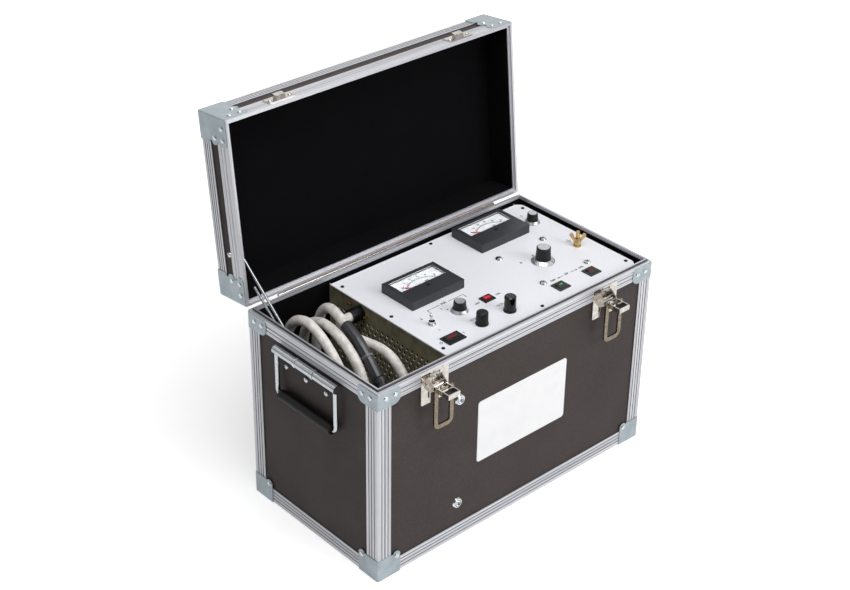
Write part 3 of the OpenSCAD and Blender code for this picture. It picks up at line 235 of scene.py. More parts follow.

# %% [markdown]
# The test lead is a thick silicone cable that stands in loops in its compartment. Its route is a list
# of given points, the same as the CAD tube's, smoothed by a Catmull-Rom curve. Blender sweeps a
# round section along it, and the result is kept as a mesh.

# %% Test lead
CHASSIS_X = -134
LEAD_RADIUS = 7.7
STEPS = 8
lead_points = [
    (-10, 64, 307), (-23, 64, 307), (-36.5, 61, 307), (-47.5, 54, 308), (-55, 43, 309), (-58, 30, 311),
    (-57.5, 14, 312), (-54, -8, 313), (-47, -40, 312), (-46, -72, 301), (-46, -98, 264), (-47, -111, 160),
    (-50, -93, 66), (-55, -52, 28), (-63, 4, 23), (-70, 56, 28), (-74, 97, 64), (-76, 113, 170),
    (-79, 100, 284), (-83, 62, 325), (-87, 10, 328), (-91, -38, 302), (-94, -70, 246), (-94, -94, 150),
    (-93, -80, 60), (-96, -40, 28), (-102, 24, 23), (-107, 84, 54), (-109, 113, 160), (-109, 101, 296),
    (-109, 60, 338), (-111, 4, 321), (-114, -44, 270), (-116, -84, 160), (-113, -74, 76), (-102, -38, 45),
    (-80, 12, 41), (-61, 58, 46), (-52, 97, 84), (-49, 113, 180), (-50, 103, 290), (-54, 72, 333),
    (-64, 20, 332)]


def smooth_route(points, steps):
    """Points along a Catmull-Rom curve through the given ones, in metres."""
    p = [Vector((x + CHASSIS_X, y, z)) * MM for x, y, z in points]
    p = [p[0], *p, p[-1]]
    found = []
    for a, b, c, d in zip(p, p[1:], p[2:], p[3:]):
        for k in range(steps):
            t = k / steps
            found.append(0.5 * (2 * b + (c - a) * t + (2 * a - 5 * b + 4 * c - d) * t * t
                                + (3 * b - a - 3 * c + d) * t ** 3))
    return found + [p[-1]]


def as_mesh(thing):
    """The mesh that a curve or text object makes. The object itself is removed."""
    show(thing)
    bpy.context.view_layer.update()
    mesh = bpy.data.meshes.new_from_object(thing.evaluated_get(bpy.context.evaluated_depsgraph_get()))
    bpy.data.objects.remove(thing)
    return mesh


lead_route = smooth_route(lead_points, STEPS)
curve = bpy.data.curves.new("test_lead", "CURVE")
curve.dimensions = "3D"
curve.bevel_depth = LEAD_RADIUS * MM
curve.bevel_resolution = 6
curve.use_fill_caps = True
spline = curve.splines.new("POLY")
spline.points.add(len(lead_route) - 1)
for point, place in zip(spline.points, lead_route):
    point.co = (*place, 1)
lead_mesh = as_mesh(bpy.data.objects.new("lead_curve", curve))
test_lead = show(bpy.data.objects.new("test_lead", lead_mesh))
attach(test_lead, "case")
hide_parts("hv_cable")
# silicone_jacket: extruded, off-white, with handling marks in wide patches
jacket = finish("silicone_jacket", "#bbb6b1", "#dfdbd7", 9, (0.36, 0.5), patch=40)
lead_mesh.materials.append(jacket)

# %% [markdown]
# The case is plywood faced with a dark phenolic laminate. Its surface is pressed with a fine pebble, so
# it scatters the light and shows small specks. The lining is needled felt, which is almost black because
# light gets lost between its fibres.

# %% Laminate and felt
# phenolic_laminate: a pressed pebble about 1.5 mm wide gives a matt brown-grey with fine specks
laminate = finish("phenolic_laminate", "#312a29", "#443c3a", 1.5, (0.5, 0.62), bump=0.05, Specular_IOR_Level=0.2)
dress(laminate, "base_panels", "lid_panels")
# needled_felt: deep between its fibres, so it stays almost black with a dull, uneven surface
felt = finish("needled_felt", "#040405", "#0b0b0e", 1.0, (0.9, 1.0), bump=0.3, Specular_IOR_Level=0.08)
dress(felt, "base_lining", "lid_lining")

# %% [markdown]
# The edges are extruded aluminium, satin anodised. An extrusion comes out of its die with fine lines
# along its length, so each member needs its streaks along its own axis. One finish is made per
# direction and each face takes the one of the member it belongs to.

# %% Aluminium extrusions
HALF_WIDTH, HALF_DEPTH, BASE_HEIGHT = 280, 146, 333
HINGE_Y = HALF_DEPTH + 2.8
LID_OPEN, LID_LEAN = math.radians(96), math.radians(6)
POST_LOW, POST_HIGH = 26.3, 309.9
STREAK = 300
# anodised_aluminium: die lines, drawn 1.6 mm apart so that they show, give long pale and grey streaks
aluminium = {axis: finish("anodised_aluminium_" + axis, "#a4a5ab", "#e2e2e7", 1.6, (0.32, 0.44), metal=0.6,
                          stretch=stretch, turn=turn)
             for axis, stretch, turn in (("x", (STREAK, 1, 1), 0), ("y", (1, STREAK, 1), 0),
                                         ("z", (1, 1, STREAK), 0), ("lid", (1, 1, STREAK), LID_LEAN))}


def shut(point):
    """Where a point of the open lid lies when the lid is shut, in mm."""
    offset = Vector((0, HINGE_Y, BASE_HEIGHT))
    return Matrix.Rotation(LID_OPEN, 3, "X") @ (point - offset) + offset


def along_x(point):
    """Whether a point of a mitred frame belongs to a member along the front or back."""
    return HALF_WIDTH - abs(point.x) > HALF_DEPTH - abs(point.y)


for name in ("base_edges", "base_rim"):
    dress(aluminium["x"], name)
    dress_faces(name, aluminium["y"], lambda p, n: not along_x(p))
dress_faces("base_edges", aluminium["z"], lambda p, n: POST_LOW < p.z < POST_HIGH)
for name in ("lid_edges", "lid_rim"):
    dress(aluminium["x"], name)
    dress_faces(name, aluminium["lid"], lambda p, n: not along_x(shut(p)))

# %% [markdown]
# The grooves along an extrusion are narrow, and see less light than the ribs between them. A darker
# finish on their faces keeps that contrast in flat light. A face lies in a groove if it is a little below
# the outer face of the shut case, or at the foot of the tongue that the lid's rim closes over.

# %% Grooves
GROOVE_FROM, GROOVE_TO = 0.15, 1.2
TONGUE_FROM, TONGUE_TO, TONGUE_FOOT = 3.3, 4.7, BASE_HEIGHT - 1.2
UPRIGHT = 0.5
# groove_shadow: painted shade in the grooves, a dull mid grey
groove = finish("groove_shadow", "#55565b", "#717278", 2, (0.4, 0.5), metal=0.5)


def below_face(point):
    """How far a point of the shut case lies below the outer faces, in mm."""
    return min(HALF_WIDTH - abs(point.x), HALF_DEPTH - abs(point.y))


dress_faces("base_edges", groove, lambda p, n: GROOVE_FROM < below_face(p) < GROOVE_TO)
dress_faces("lid_edges", groove, lambda p, n: GROOVE_FROM < below_face(shut(p)) < GROOVE_TO)
dress_faces("base_rim", groove, lambda p, n: abs(n.z) < UPRIGHT and GROOVE_FROM < below_face(p) < GROOVE_TO)
dress_faces("base_rim", groove, lambda p, n: TONGUE_FROM < below_face(p) < TONGUE_TO and p.z > TONGUE_FOOT)

# %% [markdown]
# Corner caps, rivets, handles, latches, hinge and stay are pressed or drawn steel with different plating.
# Zinc is a little blue and cloudy, nickel is warm and sharp, bright zinc is neutral like chrome.

# %% Plated steel
# zinc_plate: crystals too fine to see give an even blue-grey, with soft clouds over a centimetre or two
zinc = finish("zinc_plate", "#97a2a8", "#acb7bc", 16, (0.3, 0.4), metal=0.65)
dress(zinc, "base_corner_plates", "lid_corner_caps")
# bright_rivet: tumbled smooth before plating, so the dome shows a small clear highlight
rivet = finish("bright_rivet", "#b4babd", "#dde0e2", 4, (0.08, 0.16), metal=1.0)
dress(rivet, "base_rivets", "lid_rivets", "bright_fixings", "toggle_lever")
# bright_zinc: drawn wire and bar, with lines too fine to see, drawn 0.8 mm wide so that they show
bright = finish("bright_zinc", "#a3a9ad", "#d3d7da", 0.8, (0.12, 0.22), metal=1.0, stretch=(1, 20, 1))
dress(bright, "handle_plates", "handle_bail_left", "handle_bail_right", "stay_stud", "stay_bracket",
      "hinge_base_leaf", "hinge_lid_leaf", "hinge_pin")
# drawn_wire: left grey from the die, so only its edge shines
wire = finish("drawn_wire", "#74777a", "#a2a5a8", 0.8, (0.14, 0.22), metal=1.0, stretch=(1, 1, 20))
dress(wire, "stay_arm")
# nickel_plate: warm, with faint polishing clouds
nickel = finish("nickel_plate", "#b6b0a8", "#d8d3cd", 6, (0.1, 0.2), metal=1.0)
dress(nickel, "latch_plates", "lid_strikes", "latch_lever_left", "latch_lever_right")
# worn_nickel: the bail rubs on the hook and turns olive where the plating is thin
worn = finish("worn_nickel", "#6e6456", "#938877", 4, (0.18, 0.3), metal=1.0)
dress(worn, "latch_bail_left", "latch_bail_right")

# %% [markdown]
# The chassis keeps the gold of chromate passivation, with pale edges where holes were punched later. Some
# places differ from the piece they belong to: grease on the hinge, and painted shade inside each latch lever.
# They take a finish of their own, picked by where a face lies and which way it looks.

# %% Chassis, hinge grease and lever trays
VENT_LOW, VENT_HIGH, VENT_HALF, WALL_X, HOLE_WALL = 200, 300, 126, -132.4, 0.3
KNUCKLE_TOP, KNUCKLE_UP = BASE_HEIGHT + 1, 0.8
LATCH_X, TRAY_HALF, TRAY_TOP, TRAY_UP = 175, 9.3, 305, 0.7
# chromate_gold: a thin yellow film that drifts from olive to gold over a few centimetres
gold = finish("chromate_gold", "#8d876f", "#aca489", 12, (0.38, 0.55), metal=0.3, patch=90)
dress(gold, "chassis")
# punched_edge: the punch leaves pale bare metal round each vent hole
punched = finish("punched_edge", "#efe0c4", "#f6ead4", 2, (0.4, 0.5), metal=0.2)
dress_faces("chassis", punched, lambda p, n: abs(n.x) < HOLE_WALL and p.x < WALL_X
            and VENT_LOW < p.z < VENT_HIGH and abs(p.y) < VENT_HALF)
# hinge_grease: a brown line of old grease lies along the top of the hinge's knuckles
grease = finish("hinge_grease", "#5c4028", "#8a6644", 4, (0.35, 0.5))
for name in ("hinge_base_leaf", "hinge_lid_leaf"):
    dress_faces(name, grease, lambda p, n: n.z > KNUCKLE_UP and p.z > KNUCKLE_TOP)
# the inside of each lever is painted shade, dark where its web sits below the flanges
tray = finish("tray_painted_shade", "#26282c", "#3d4046", 3, (0.3, 0.45), metal=0.8)
for side, x in (("left", -LATCH_X), ("right", LATCH_X)):
    dress_faces("latch_lever_" + side, tray,
                lambda p, n: n.z > TRAY_UP and p.z < TRAY_TOP and abs(p.x - x) < TRAY_HALF)

# %% [markdown]
# Black mouldings differ in gloss more than in colour: the meter cases are satin ABS, the tall cap is a
# polished phenolic, the grips are rubber.

# %% Black plastics and rubber
# satin_abs: moulded on a fine spark-eroded texture
abs_black = finish("satin_abs", "#232427", "#303136", 0.8, (0.4, 0.52), bump=0.02)
dress(abs_black, "meter_cases")
# black_nylon: moulded smooth, with faint flow marks
nylon = finish("black_nylon", "#0b0b0c", "#151517", 6, (0.28, 0.4), Specular_IOR_Level=0.35)
dress(nylon, "switch_bezels", "fuse_holders", "cable_gland", "output_knob", "range_knob", "mode_knob",
      "fuse_cap_low", "rocker_power", "rocker_hv_on", "rocker_hv_off")
# polished_phenolic: buffed, so it mirrors the softboxes
phenolic = finish("polished_phenolic", "#050506", "#0a0a0b", 8, (0.05, 0.1), Specular_IOR_Level=0.4)
dress(phenolic, "fuse_cap_tall")
# moulded_rubber: dull, with a bloom that greys it in patches
rubber = finish("moulded_rubber", "#040404", "#0b0b0c", 2.5, (0.42, 0.6), bump=0.05, Specular_IOR_Level=0.3)
dress(rubber, "handle_grip_left", "handle_grip_right")
# heat_shrink: the plug and its sleeve are a softer grey-black, with a satin gloss from shrinking
shrink = finish("heat_shrink", "#1d1e20", "#2e2f32", 5, (0.3, 0.42))
dress(shrink, "cable_plug")
# black_oxide: heated in salts, so it keeps the metal's gloss
oxide = finish("black_oxide", "#101011", "#1e1e20", 1, (0.25, 0.4), metal=0.6)
dress(oxide, "panel_screws")

# %% [markdown]
# No real edge is perfectly sharp. A bevel modifier rounds the edges of mouldings and pressings by half a
# millimetre, which catches a line of light. A weld first joins the corners that the CAD mesh keeps apart.

# %% Soft edges
WELD_GAP, BEVEL_WIDTH, BEVEL_FROM = 0.01, 0.5, math.radians(40)
for name in ("meter_cases", "switch_bezels", "base_corner_plates", "lid_corner_caps", "latch_plates"):
    weld = nodes[name].modifiers.new("weld", "WELD")
    weld.merge_threshold = WELD_GAP * MM
    bevel = nodes[name].modifiers.new("bevel", "BEVEL")
    bevel.width = BEVEL_WIDTH * MM
    bevel.segments = 2
    bevel.angle_limit = BEVEL_FROM
    bevel.harden_normals = True
    print(name, "edges rounded by", BEVEL_WIDTH, "mm")

# %% [markdown]
# The panel is aluminium with a fine pale powder coat. The meter cards are white printed card, and the
# lit rocker is dyed acrylic: clear colour with a gloss over it. The pieces under the panel show only
# through the vents, but they are finished as the real ones are.

# %% Paint, card, lens, brass and inside pieces
# powder_coat: a fine orange peel, a millimetre from crest to crest, that softens reflections
paint = finish("powder_coat", "#dddee4", "#e6e7ec", 1.2, (0.36, 0.46), bump=0.01, patch=120)
dress(paint, "control_panel")
# dial_card: matt coated card with a faint drift in tone
card = finish("dial_card", "#bfc1c5", "#cbcdd0", 14, (0.6, 0.7))
dress(card, "meter_dials")
# red_acrylic: dyed through, so the colour is even and deep under its gloss
red_lens = finish("red_acrylic", "#a31323", "#cf2238", 5, (0.12, 0.2))
dress(red_lens, "rocker_alarm")
# needle_enamel: a thin coat of bright red, half gloss
needle_paint = finish("needle_enamel", "#b81d22", "#d63338", 2, (0.3, 0.4))
dress(needle_paint, "pointer_left", "pointer_right")
# turned_brass: rings from the lathe, drawn wide enough to show
brass = finish("turned_brass", "#b08a4e", "#e6c993", 1.6, (0.14, 0.28), metal=1.0, stretch=(8, 8, 1))
dress(brass, "earth_post", "wing_nut", "output_wiper")
# enamelled_copper: turns of wire a millimetre wide stand side by side as red-brown stripes
copper = finish("enamelled_copper", "#6e3517", "#a3572a", 1.0, (0.25, 0.4), metal=0.7, stretch=(1, 1, 40))
dress(copper, "variac")
# varnished_laminations: a stack of thin steel sheets shows fine dark lines under the varnish
core = finish("varnished_laminations", "#26292d", "#3a3e44", 0.8, (0.4, 0.55), metal=0.3, stretch=(1, 40, 40))
dress(core, "hv_transformer")
# solder_mask: a green lacquer, uneven over the tracks below it
board = finish("solder_mask", "#1c4a28", "#2f6b3a", 3, (0.3, 0.45))
dress(board, "control_board")

# %% [markdown]
# The meter windows are clear acrylic. Glass in a path tracer darkens what lies behind it, because it
# blocks the lamps' direct light. So the window is plain transparent to shadow rays: light passes straight
# through to the card, and the camera still sees the gloss.

# %% Meter windows
ACRYLIC_IOR, ACRYLIC_ROUGH = 1.49, 0.03
window = bpy.data.materials.new("clear_acrylic")
window.use_nodes = True
tree = window.node_tree
gloss = tree.nodes["Principled BSDF"]
gloss.inputs["Base Color"].default_value = linear("#fbfbfc")
gloss.inputs["Roughness"].default_value = ACRYLIC_ROUGH
gloss.inputs["IOR"].default_value = ACRYLIC_IOR
gloss.inputs["Transmission Weight"].default_value = 1.0
through = add(tree, "BsdfTransparent")
ray = add(tree, "LightPath")
clear = add(tree, "MixShader", {0: ray.outputs["Is Shadow Ray"], 1: gloss.outputs[0], 2: through.outputs[0]})
tree.links.new(clear.outputs[0], tree.nodes["Material Output"].inputs["Surface"])
dress(window, "meter_windows")

# %% [markdown]
# Print, plates, lenses and screw recesses are thin pieces of their own. A few small functions draw them
# in millimetres: a prism over an outline, a turned solid, a line, and letters from Blender's own font.

# %% Helpers for small pieces
INK, BOLD = 0.1, 0.03
QUARTER = math.pi / 2


def at(x, y, z):
    """A place, in mm."""
    return Matrix.Translation((x, y, z))


def spin(angle, axis):
    """A turn about the X, Y or Z axis of a place."""
    return Matrix.Rotation(angle, 4, axis)


def piece(name, shape, mat, body):
    """Turns a shape drawn in mm into an object with a finish that moves with a CAD body."""
    bmesh.ops.recalc_face_normals(shape, faces=shape.faces)
    bmesh.ops.scale(shape, vec=(MM, MM, MM), verts=shape.verts)
    mesh = bpy.data.meshes.new(name)
    shape.to_mesh(mesh)
    shape.free()
    mesh.materials.append(mat)
    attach(show(bpy.data.objects.new(name, mesh)), body)
    print(name, len(mesh.polygons), "faces, with", body)


def prism(shape, outline, low, high, place):
    """Adds a solid over a flat outline, between two heights along the place's own Z."""
    rings = [[shape.verts.new(place @ Vector((x, y, z))) for x, y in outline] for z in (low, high)]
    shape.faces.new(rings[0][::-1])
    shape.faces.new(rings[1])
    for i in range(len(outline)):
        j = (i + 1) % len(outline)
        shape.faces.new((rings[0][i], rings[0][j], rings[1][j], rings[1][i]))


def turned(shape, profile, place, sides=48):
    """Adds a solid turned round the place's Z axis from (radius, height) points."""
    round_way = [(math.cos(k * math.tau / sides), math.sin(k * math.tau / sides)) for k in range(sides)]
    rings = [[shape.verts.new(place @ Vector((r * c, r * s, z))) for c, s in round_way] for r, z in profile]
    for a, b in zip(rings, rings[1:]):
        for k in range(sides):
            m = (k + 1) % sides
            shape.faces.new((a[k], a[m], b[m], b[k]))
    shape.faces.new(rings[0][::-1])
    shape.faces.new(rings[-1])


def line(shape, a, b, width, place, thick=INK):
    """Adds a printed line from a to b."""
    along = Vector(b) - Vector(a)
    side = Vector((-along.y, along.x)).normalized() * width / 2
    corners = [Vector(a) - side, Vector(b) - side, Vector(b) + side, Vector(a) + side]
    prism(shape, [(c.x, c.y) for c in corners], 0, thick, place)


def letters(shape, text, x, y, size, place, turn=0.0, thick=INK):
    """Adds raised letters or figures, centred on a point."""
    font = bpy.data.curves.new("letters", "FONT")
    font.body = text
    font.size = size
    font.offset = BOLD * size
    font.align_x = "CENTER"
    font.align_y = "CENTER"
    font.extrude = thick / 2
    font.resolution_u = 3
    mesh = as_mesh(bpy.data.objects.new("letters", font))
    mesh.transform(place @ at(x, y, thick / 2) @ spin(turn, "Z"))
    shape.from_mesh(mesh)
    bpy.data.curves.remove(font)
    bpy.data.meshes.remove(mesh)


def rounded(width, height, radius, steps=6):
    """The outline of a rectangle with round corners, centred."""
    found = []
    for cx, cy, start in ((1, 1, 0), (-1, 1, 90), (-1, -1, 180), (1, -1, 270)):
        for k in range(steps + 1):
            a = math.radians(start + 90 * k / steps)
            found.append((cx * (width / 2 - radius) + radius * math.cos(a),
                          cy * (height / 2 - radius) + radius * math.sin(a)))
    return found


# %% [markdown]
# The panel is screen printed in black. Only general signs are used: figures, ON and OFF, I and O, units,
# brackets, arrows, and the usual signs for a fuse and for earth.

# %% Panel print
PANEL_TOP = 327
BRACKET, FUSE_LINE, EARTH_LINE, DOT, ARROW_Y = 0.9, 0.6, 0.8, 1.3, -82
EARTH_X, EARTH_Y, EARTH_STEP = 235, -11, 2.4
# screen_ink: dense black with a slightly uneven edge tone
ink = finish("screen_ink", "#17171a", "#26262a", 0.8, (0.45, 0.6))
panel = at(0, 0, PANEL_TOP)
shape = bmesh.new()
for text, x, y, size in (
        ("mA", -44, -21, 7.5), ("1", -58, -32, 6), ("10", -21, -32, 6), ("2", -99, -33.5, 6), ("1", -99, -73, 6),
        ("I", -77, -101, 6.5), ("O", -121, -101, 6.5), ("OFF", 128, -82, 6), ("ON", 189, -82, 6),
        ("kV", 158, -81, 7), ("ON", 36, -55.5, 5.4), ("OFF", -6.5, -55.5, 5.4), ("0", 128, -12, 6.5),
        ("10", 190, -12, 6), ("1", 214, 81, 5.4), ("2", 224, 92, 5.4), ("3", 236, 96, 5.4), ("A", 31, -83, 6),
        ("A", -28, -84, 6)):
    letters(shape, text, x, y, size, panel)
for points in (((-77, -31), (-77, -22), (-53, -22)), ((-35, -22), (-5, -22), (-5, -31)),
               ((137, ARROW_Y), (150, ARROW_Y)), ((166, ARROW_Y), (181, ARROW_Y))):
    for a, b in zip(points, points[1:]):
        line(shape, a, b, BRACKET, panel)
for x, step in ((137, 1), (181, -1)):
    head = [(x, ARROW_Y), (x + 4 * step, ARROW_Y + 1.8), (x + 4 * step, ARROW_Y - 1.8)]
    prism(shape, head[::step], 0, INK, panel)
for x, y in ((-51.5, -38.5), (-28.5, -38.5)):
    ring = [(x + DOT * math.cos(k * math.tau / 16), y + DOT * math.sin(k * math.tau / 16)) for k in range(16)]
    prism(shape, ring, 0, INK, panel)
for x, y in ((-42, -84), (17, -80)):
    box = [(x - 5, y - 2), (x + 5, y - 2), (x + 5, y + 2), (x - 5, y + 2), (x - 5, y - 2)]
    for a, b in [*zip(box, box[1:]), ((x - 8, y), (x + 8, y))]:
        line(shape, a, b, FUSE_LINE, panel)
for k, width in enumerate((10, 6.5, 3)):
    y = EARTH_Y - EARTH_STEP * k
    line(shape, (EARTH_X - width / 2, y), (EARTH_X + width / 2, y), EARTH_LINE, panel)
line(shape, (EARTH_X, -6), (EARTH_X, EARTH_Y), EARTH_LINE, panel)
prism(shape, [(158.7, -9.5), (160.8, -5.5), (156.6, -5.5)], 0, INK, panel)
piece("panel_print", shape, ink, "case")

# %% [markdown]
# Each meter card has an arc scale. The needle turns about a point below the window, so the arc is drawn
# round that point, and the figures stand upright outside it. A slotted plug under each window sets zero.

# %% Meter scales
METERS = ((-42, 26.5, 5, "mA"), (154.5, 84, 50, "kV"))
CARD_TOP, CASE_TOP = PANEL_TOP + 10.2, PANEL_TOP + 15
PIVOT_Y, ZERO_Y = -22, -13
ARC, NEEDLE_START, NEEDLE_SWING = 38, 135, 90
CARD_INK, ARC_PARTS, TICKS, FIGURES = 0.06, 30, 25, 5


def on_arc(radius, share):
    """A point of the scale at a share of the needle's swing."""
    a = math.radians(NEEDLE_START - NEEDLE_SWING * share)
    return radius * math.cos(a), PIVOT_Y + radius * math.sin(a)


shape, plugs, slots = bmesh.new(), bmesh.new(), bmesh.new()
for x, y, top, unit in METERS:
    place = at(x, y, CARD_TOP)
    for k in range(ARC_PARTS):
        line(shape, on_arc(ARC, k / ARC_PARTS), on_arc(ARC, (k + 1) / ARC_PARTS), 0.8, place, CARD_INK)
    for k in range(TICKS + 1):
        length, width = (4.2, 1.0) if k % FIGURES == 0 else (2.6, 0.6)
        line(shape, on_arc(ARC, k / TICKS), on_arc(ARC + length, k / TICKS), width, place, CARD_INK)
    for k in range(FIGURES + 1):
        letters(shape, str(top * k // FIGURES), *on_arc(ARC + 7.4, k / FIGURES), 5.2, place, thick=CARD_INK)
    letters(shape, unit, 11, 4.5, 5, place, thick=CARD_INK)
    turned(plugs, [(3.2, 0), (3.2, 0.5), (2.6, 0.9)], at(x, y + ZERO_Y, CASE_TOP), 32)
    line(slots, (-2.2, -0.8), (2.2, 0.8), 0.7, at(x, y + ZERO_Y, CASE_TOP + 0.85), 0.1)
piece("meter_print", shape, ink, "case")
piece("zero_adjusters", plugs, nylon, "case")
piece("zero_slots", slots, oxide, "case")

# %% [markdown]
# A control knob is a black moulding on a spun aluminium skirt, with a spun disc let into its top. The
# skirt's faces in the CAD solid take the metal finish, and the marks are thin pieces laid on its slope.

# %% Knobs
SKIRT_LOW, SKIRT_HIGH, SKIRT_UP = 0.6, 4.6, 0.2
DIAL_START, DIAL_SWING = 230, 300
# spun_aluminium: rings from the tool give a bright cone of light
spun = finish("spun_aluminium", "#9b9da1", "#dfe0e2", 1.2, (0.28, 0.42), metal=0.65)
for name, x, y, radius, skirt, height, figures, ticks in (
        ("output", 158.7, -29.6, 11.8, 19, 25, 10, 5), ("range", -40, -52.5, 9.8, 14, 17, 2, 1),
        ("mode", 235, 70.5, 9.0, 13, 17, 5, 1)):
    dress_faces(name + "_knob", spun, lambda p, n: SKIRT_LOW - 0.1 < p.z - PANEL_TOP < SKIRT_HIGH + 0.1
                and n.z > SKIRT_UP and math.hypot(p.x - x, p.y - y) > radius + 0.9)
    shape = bmesh.new()
    turned(shape, [(radius - 2.2, -0.3), (radius - 2.2, 0.25), (radius - 2.6, 0.4), (1.2, 0.2)],
           at(x, y, PANEL_TOP + height))
    piece(name + "_knob_disc", shape, spun, name + "_control")
    shape = bmesh.new()
    low, high = Vector((skirt, SKIRT_LOW)), Vector((radius + 1.5, SKIRT_HIGH))
    slope = math.atan2(high.y - low.y, low.x - high.x)
    reach = (high - low).length
    for k in range(figures * ticks + 1):
        way = math.radians(DIAL_START - DIAL_SWING * (k / (figures * ticks)))
        spot = at(x, y, PANEL_TOP) @ spin(way, "Z") @ at(low.x, 0, low.y) @ spin(slope, "Y")
        main = k % ticks == 0
        length, width = (3.0, 1.1) if main else (1.8, 0.6)
        line(shape, (-0.3, 0), (-length, 0), width, spot)
        if main:
            letters(shape, str(k // ticks), -0.66 * reach, 0, min(3.4, 0.62 * reach), spot, math.radians(90))
    piece(name + "_knob_marks", shape, ink, name + "_control")

# %% [markdown]
# Lighted rockers carry small lenses. Each lens is a plate on one slope of the rocker, so it is placed in
# the rocker's own tilted frame and tips with it.

# %% Rocker lenses
TILT = math.radians(7)
ROCKER_AXIS, ROCKER_RISE, RIDGE, RIM = -0.5, 3, 0.8, 0.4
LENS_LOW, LENS_HIGH, LENS_ROUND = -0.2, 0.25, 0.5
# smoked_red_acrylic, signal_red_acrylic and green_acrylic: dyed, dark while unlit, with a soft gloss
deep_red = finish("smoked_red_acrylic", "#4a0811", "#74101c", 3, (0.14, 0.24), Specular_IOR_Level=0.25)
small_red = finish("signal_red_acrylic", "#74101a", "#9c1a27", 3, (0.14, 0.24), Specular_IOR_Level=0.25)
green_lens = finish("green_acrylic", "#0f7f66", "#2bb391", 3, (0.14, 0.24))
for name, x, y, depth, low, width, length, offset, mat in (
        ("power", -99.5, -103, 14.0, 0.7, 15, 4.8, 0, deep_red),
        ("hv_on", 191.5, -102, 13.0, 0.8, 6.5, 2.6, 1.6, small_red),
        ("hv_off", 124, -102, 13.0, 0.8, 6.5, 2.6, 1.6, green_lens)):
    slope = math.atan2(RIDGE, depth / 2 - RIM)
    spot = at(x, y, PANEL_TOP + ROCKER_AXIS) @ spin(TILT, "X") @ at(0, 0, ROCKER_RISE) @ spin(slope, "X")
    outline = [(px + offset, py + low + length / 2) for px, py in rounded(width, length, LENS_ROUND, 3)]
    shape = bmesh.new()
    prism(shape, outline, LENS_LOW, LENS_HIGH, spot)
    piece(name + "_lens", shape, mat, name + "_switch")

# %% [markdown]
# Cross recesses tell the eye that a dome is a screw. The recess is drawn as a dark cross of painted shade
# that stands a hair above the dome, which reads as a hollow from any side.

# %% Screw recesses
FRONT_Y = -144.5
BOLTS = ((110.2, -78.1), (207.2, -78.1), (110.2, 18.9), (207.2, 18.9))
SCREWS = ((-128, 113), (-128, 0), (-128, -113), (62, 124), (62, -124), (256.5, 114), (256.5, -114))
FRONT_SCREW_X, FRONT_SCREW_Z = -122.5, (252.5, 65)
BOLT_TURN, SCREW_TURN, FRONT_TURN = 0.5, 0.9, 0.3
# recess_shadow: painted shade for each recess's hollow, dark and dull
recess = finish("recess_shadow", "#0c0c0d", "#1a1a1c", 1, (0.5, 0.7))


def cross(arm, half):
    """The outline of a plus sign."""
    return [(half, half), (half, arm), (-half, arm), (-half, half), (-arm, half), (-arm, -half),
            (-half, -half), (-half, -arm), (half, -arm), (half, -half), (arm, -half), (arm, half)]


shape = bmesh.new()
for x, y in BOLTS:
    prism(shape, cross(3.1, 0.75), 2.6, 3.42, at(x, y, PANEL_TOP) @ spin(BOLT_TURN, "Z"))
for x, y in SCREWS:
    prism(shape, cross(1.5, 0.4), 1.3, 1.82, at(x, y, PANEL_TOP) @ spin(SCREW_TURN, "Z"))
for z in FRONT_SCREW_Z:
    place = at(FRONT_SCREW_X, FRONT_Y, z) @ spin(QUARTER, "X") @ spin(FRONT_TURN, "Z")
    prism(shape, cross(2.8, 0.7), 2.3, 3.02, place)
piece("cross_recesses", shape, recess, "case")

# %% [markdown]
# A thin white plate sits on the front of the case, with nothing on it. Its second, slightly smaller layer
# gives it a stepped edge, which catches the light as a folded sheet's edge does.

# %% Front plate
PLATE_X, PLATE_Z, PLATE_WIDTH, PLATE_HEIGHT, PLATE_ROUND = 7.5, 175.75, 185, 108.5, 5
PLATE_THICK, PLATE_TOP, STEP = 0.7, 0.95, 0.7
# white_enamel: fired smooth, so only a faint drift in gloss shows
white = finish("white_enamel", "#ededef", "#f1f1f2", 20, (0.3, 0.36), patch=90)
front = at(PLATE_X, FRONT_Y, PLATE_Z) @ spin(QUARTER, "X")
shape = bmesh.new()
prism(shape, rounded(PLATE_WIDTH, PLATE_HEIGHT, PLATE_ROUND), 0, PLATE_THICK, front)
prism(shape, rounded(PLATE_WIDTH - 2 * STEP, PLATE_HEIGHT - 2 * STEP, PLATE_ROUND - 0.6),
      PLATE_THICK, PLATE_TOP, front)
piece("front_plate", shape, white, "case")

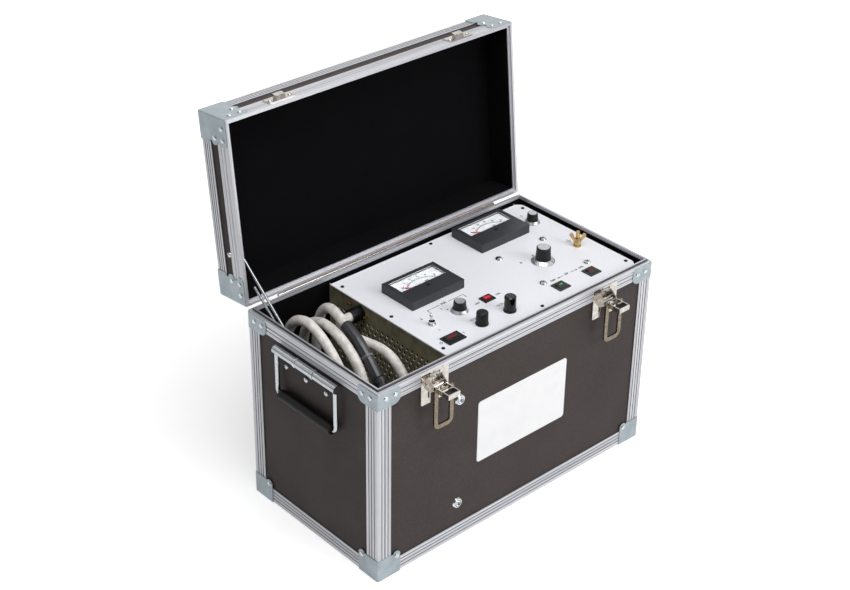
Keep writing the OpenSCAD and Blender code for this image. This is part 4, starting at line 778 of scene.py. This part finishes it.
# %% [markdown]
# Half way along the lead's sleeve there is a moulded ring of paler rubber.

# %% Plug ring
RING_PLACE, RING_WAY = (-207, -39, 309), Vector((-8, -54, -34)).normalized()
# grey_rubber: dull and even, paler than the sleeve
ring_rubber = finish("grey_rubber", "#4a4b4d", "#6a6b6d", 3, (0.45, 0.6))
shape = bmesh.new()
turned(shape, [(9.4, -2), (9.9, -1.4), (9.9, 1.4), (9.4, 2)],
       at(*RING_PLACE) @ RING_WAY.to_track_quat("Z", "Y").to_matrix().to_4x4())
piece("plug_ring", shape, ring_rubber, "case")

# %% [markdown]
# Two brass screws clamp the gland to the chassis wall, the wall's fold shows as a brown line under the
# panel, and a bright rolled ring ends the fixed part of each handle's barrel.

# %% Gland screws, chassis fold and handle rings
BEND_Z, BEND_HALF, BEND_WIDTH = 324, 115, 1.6
HANDLE_X, HANDLE_Y, HANDLE_Z, BARREL, BARREL_HALF = 286.9, 4, 302, 7.2, 22
shape = bmesh.new()
for y, z in ((84, 315), (49, 306)):
    turned(shape, [(1.6, 0), (1.6, 5), (2.8, 5), (2.8, 6.4), (2.0, 7)], at(CHASSIS_X, y, z) @ spin(-QUARTER, "Y"), 24)
piece("gland_screws", shape, brass, "case")
# bend_line: where the sheet was folded under the panel its film cracked to a copper brown
bend = finish("bend_line", "#7d5d43", "#97765a", 3, (0.4, 0.5), metal=0.3)
shape = bmesh.new()
line(shape, (-BEND_HALF, 0), (BEND_HALF, 0), BEND_WIDTH,
     at(CHASSIS_X, 0, BEND_Z) @ spin(-QUARTER, "Z") @ spin(QUARTER, "X"))
piece("chassis_bend", shape, bend, "case")
shape = bmesh.new()
for side in (-1, 1):
    for end in (-1, 1):
        spot = at(side * HANDLE_X, HANDLE_Y + end * (BARREL_HALF - 1.9), HANDLE_Z) @ spin(QUARTER, "X")
        turned(shape, [(BARREL, -1.8), (BARREL + 0.7, -1.2), (BARREL + 0.7, 1.2), (BARREL, 1.8)], spot)
piece("handle_rings", shape, rivet, "case")
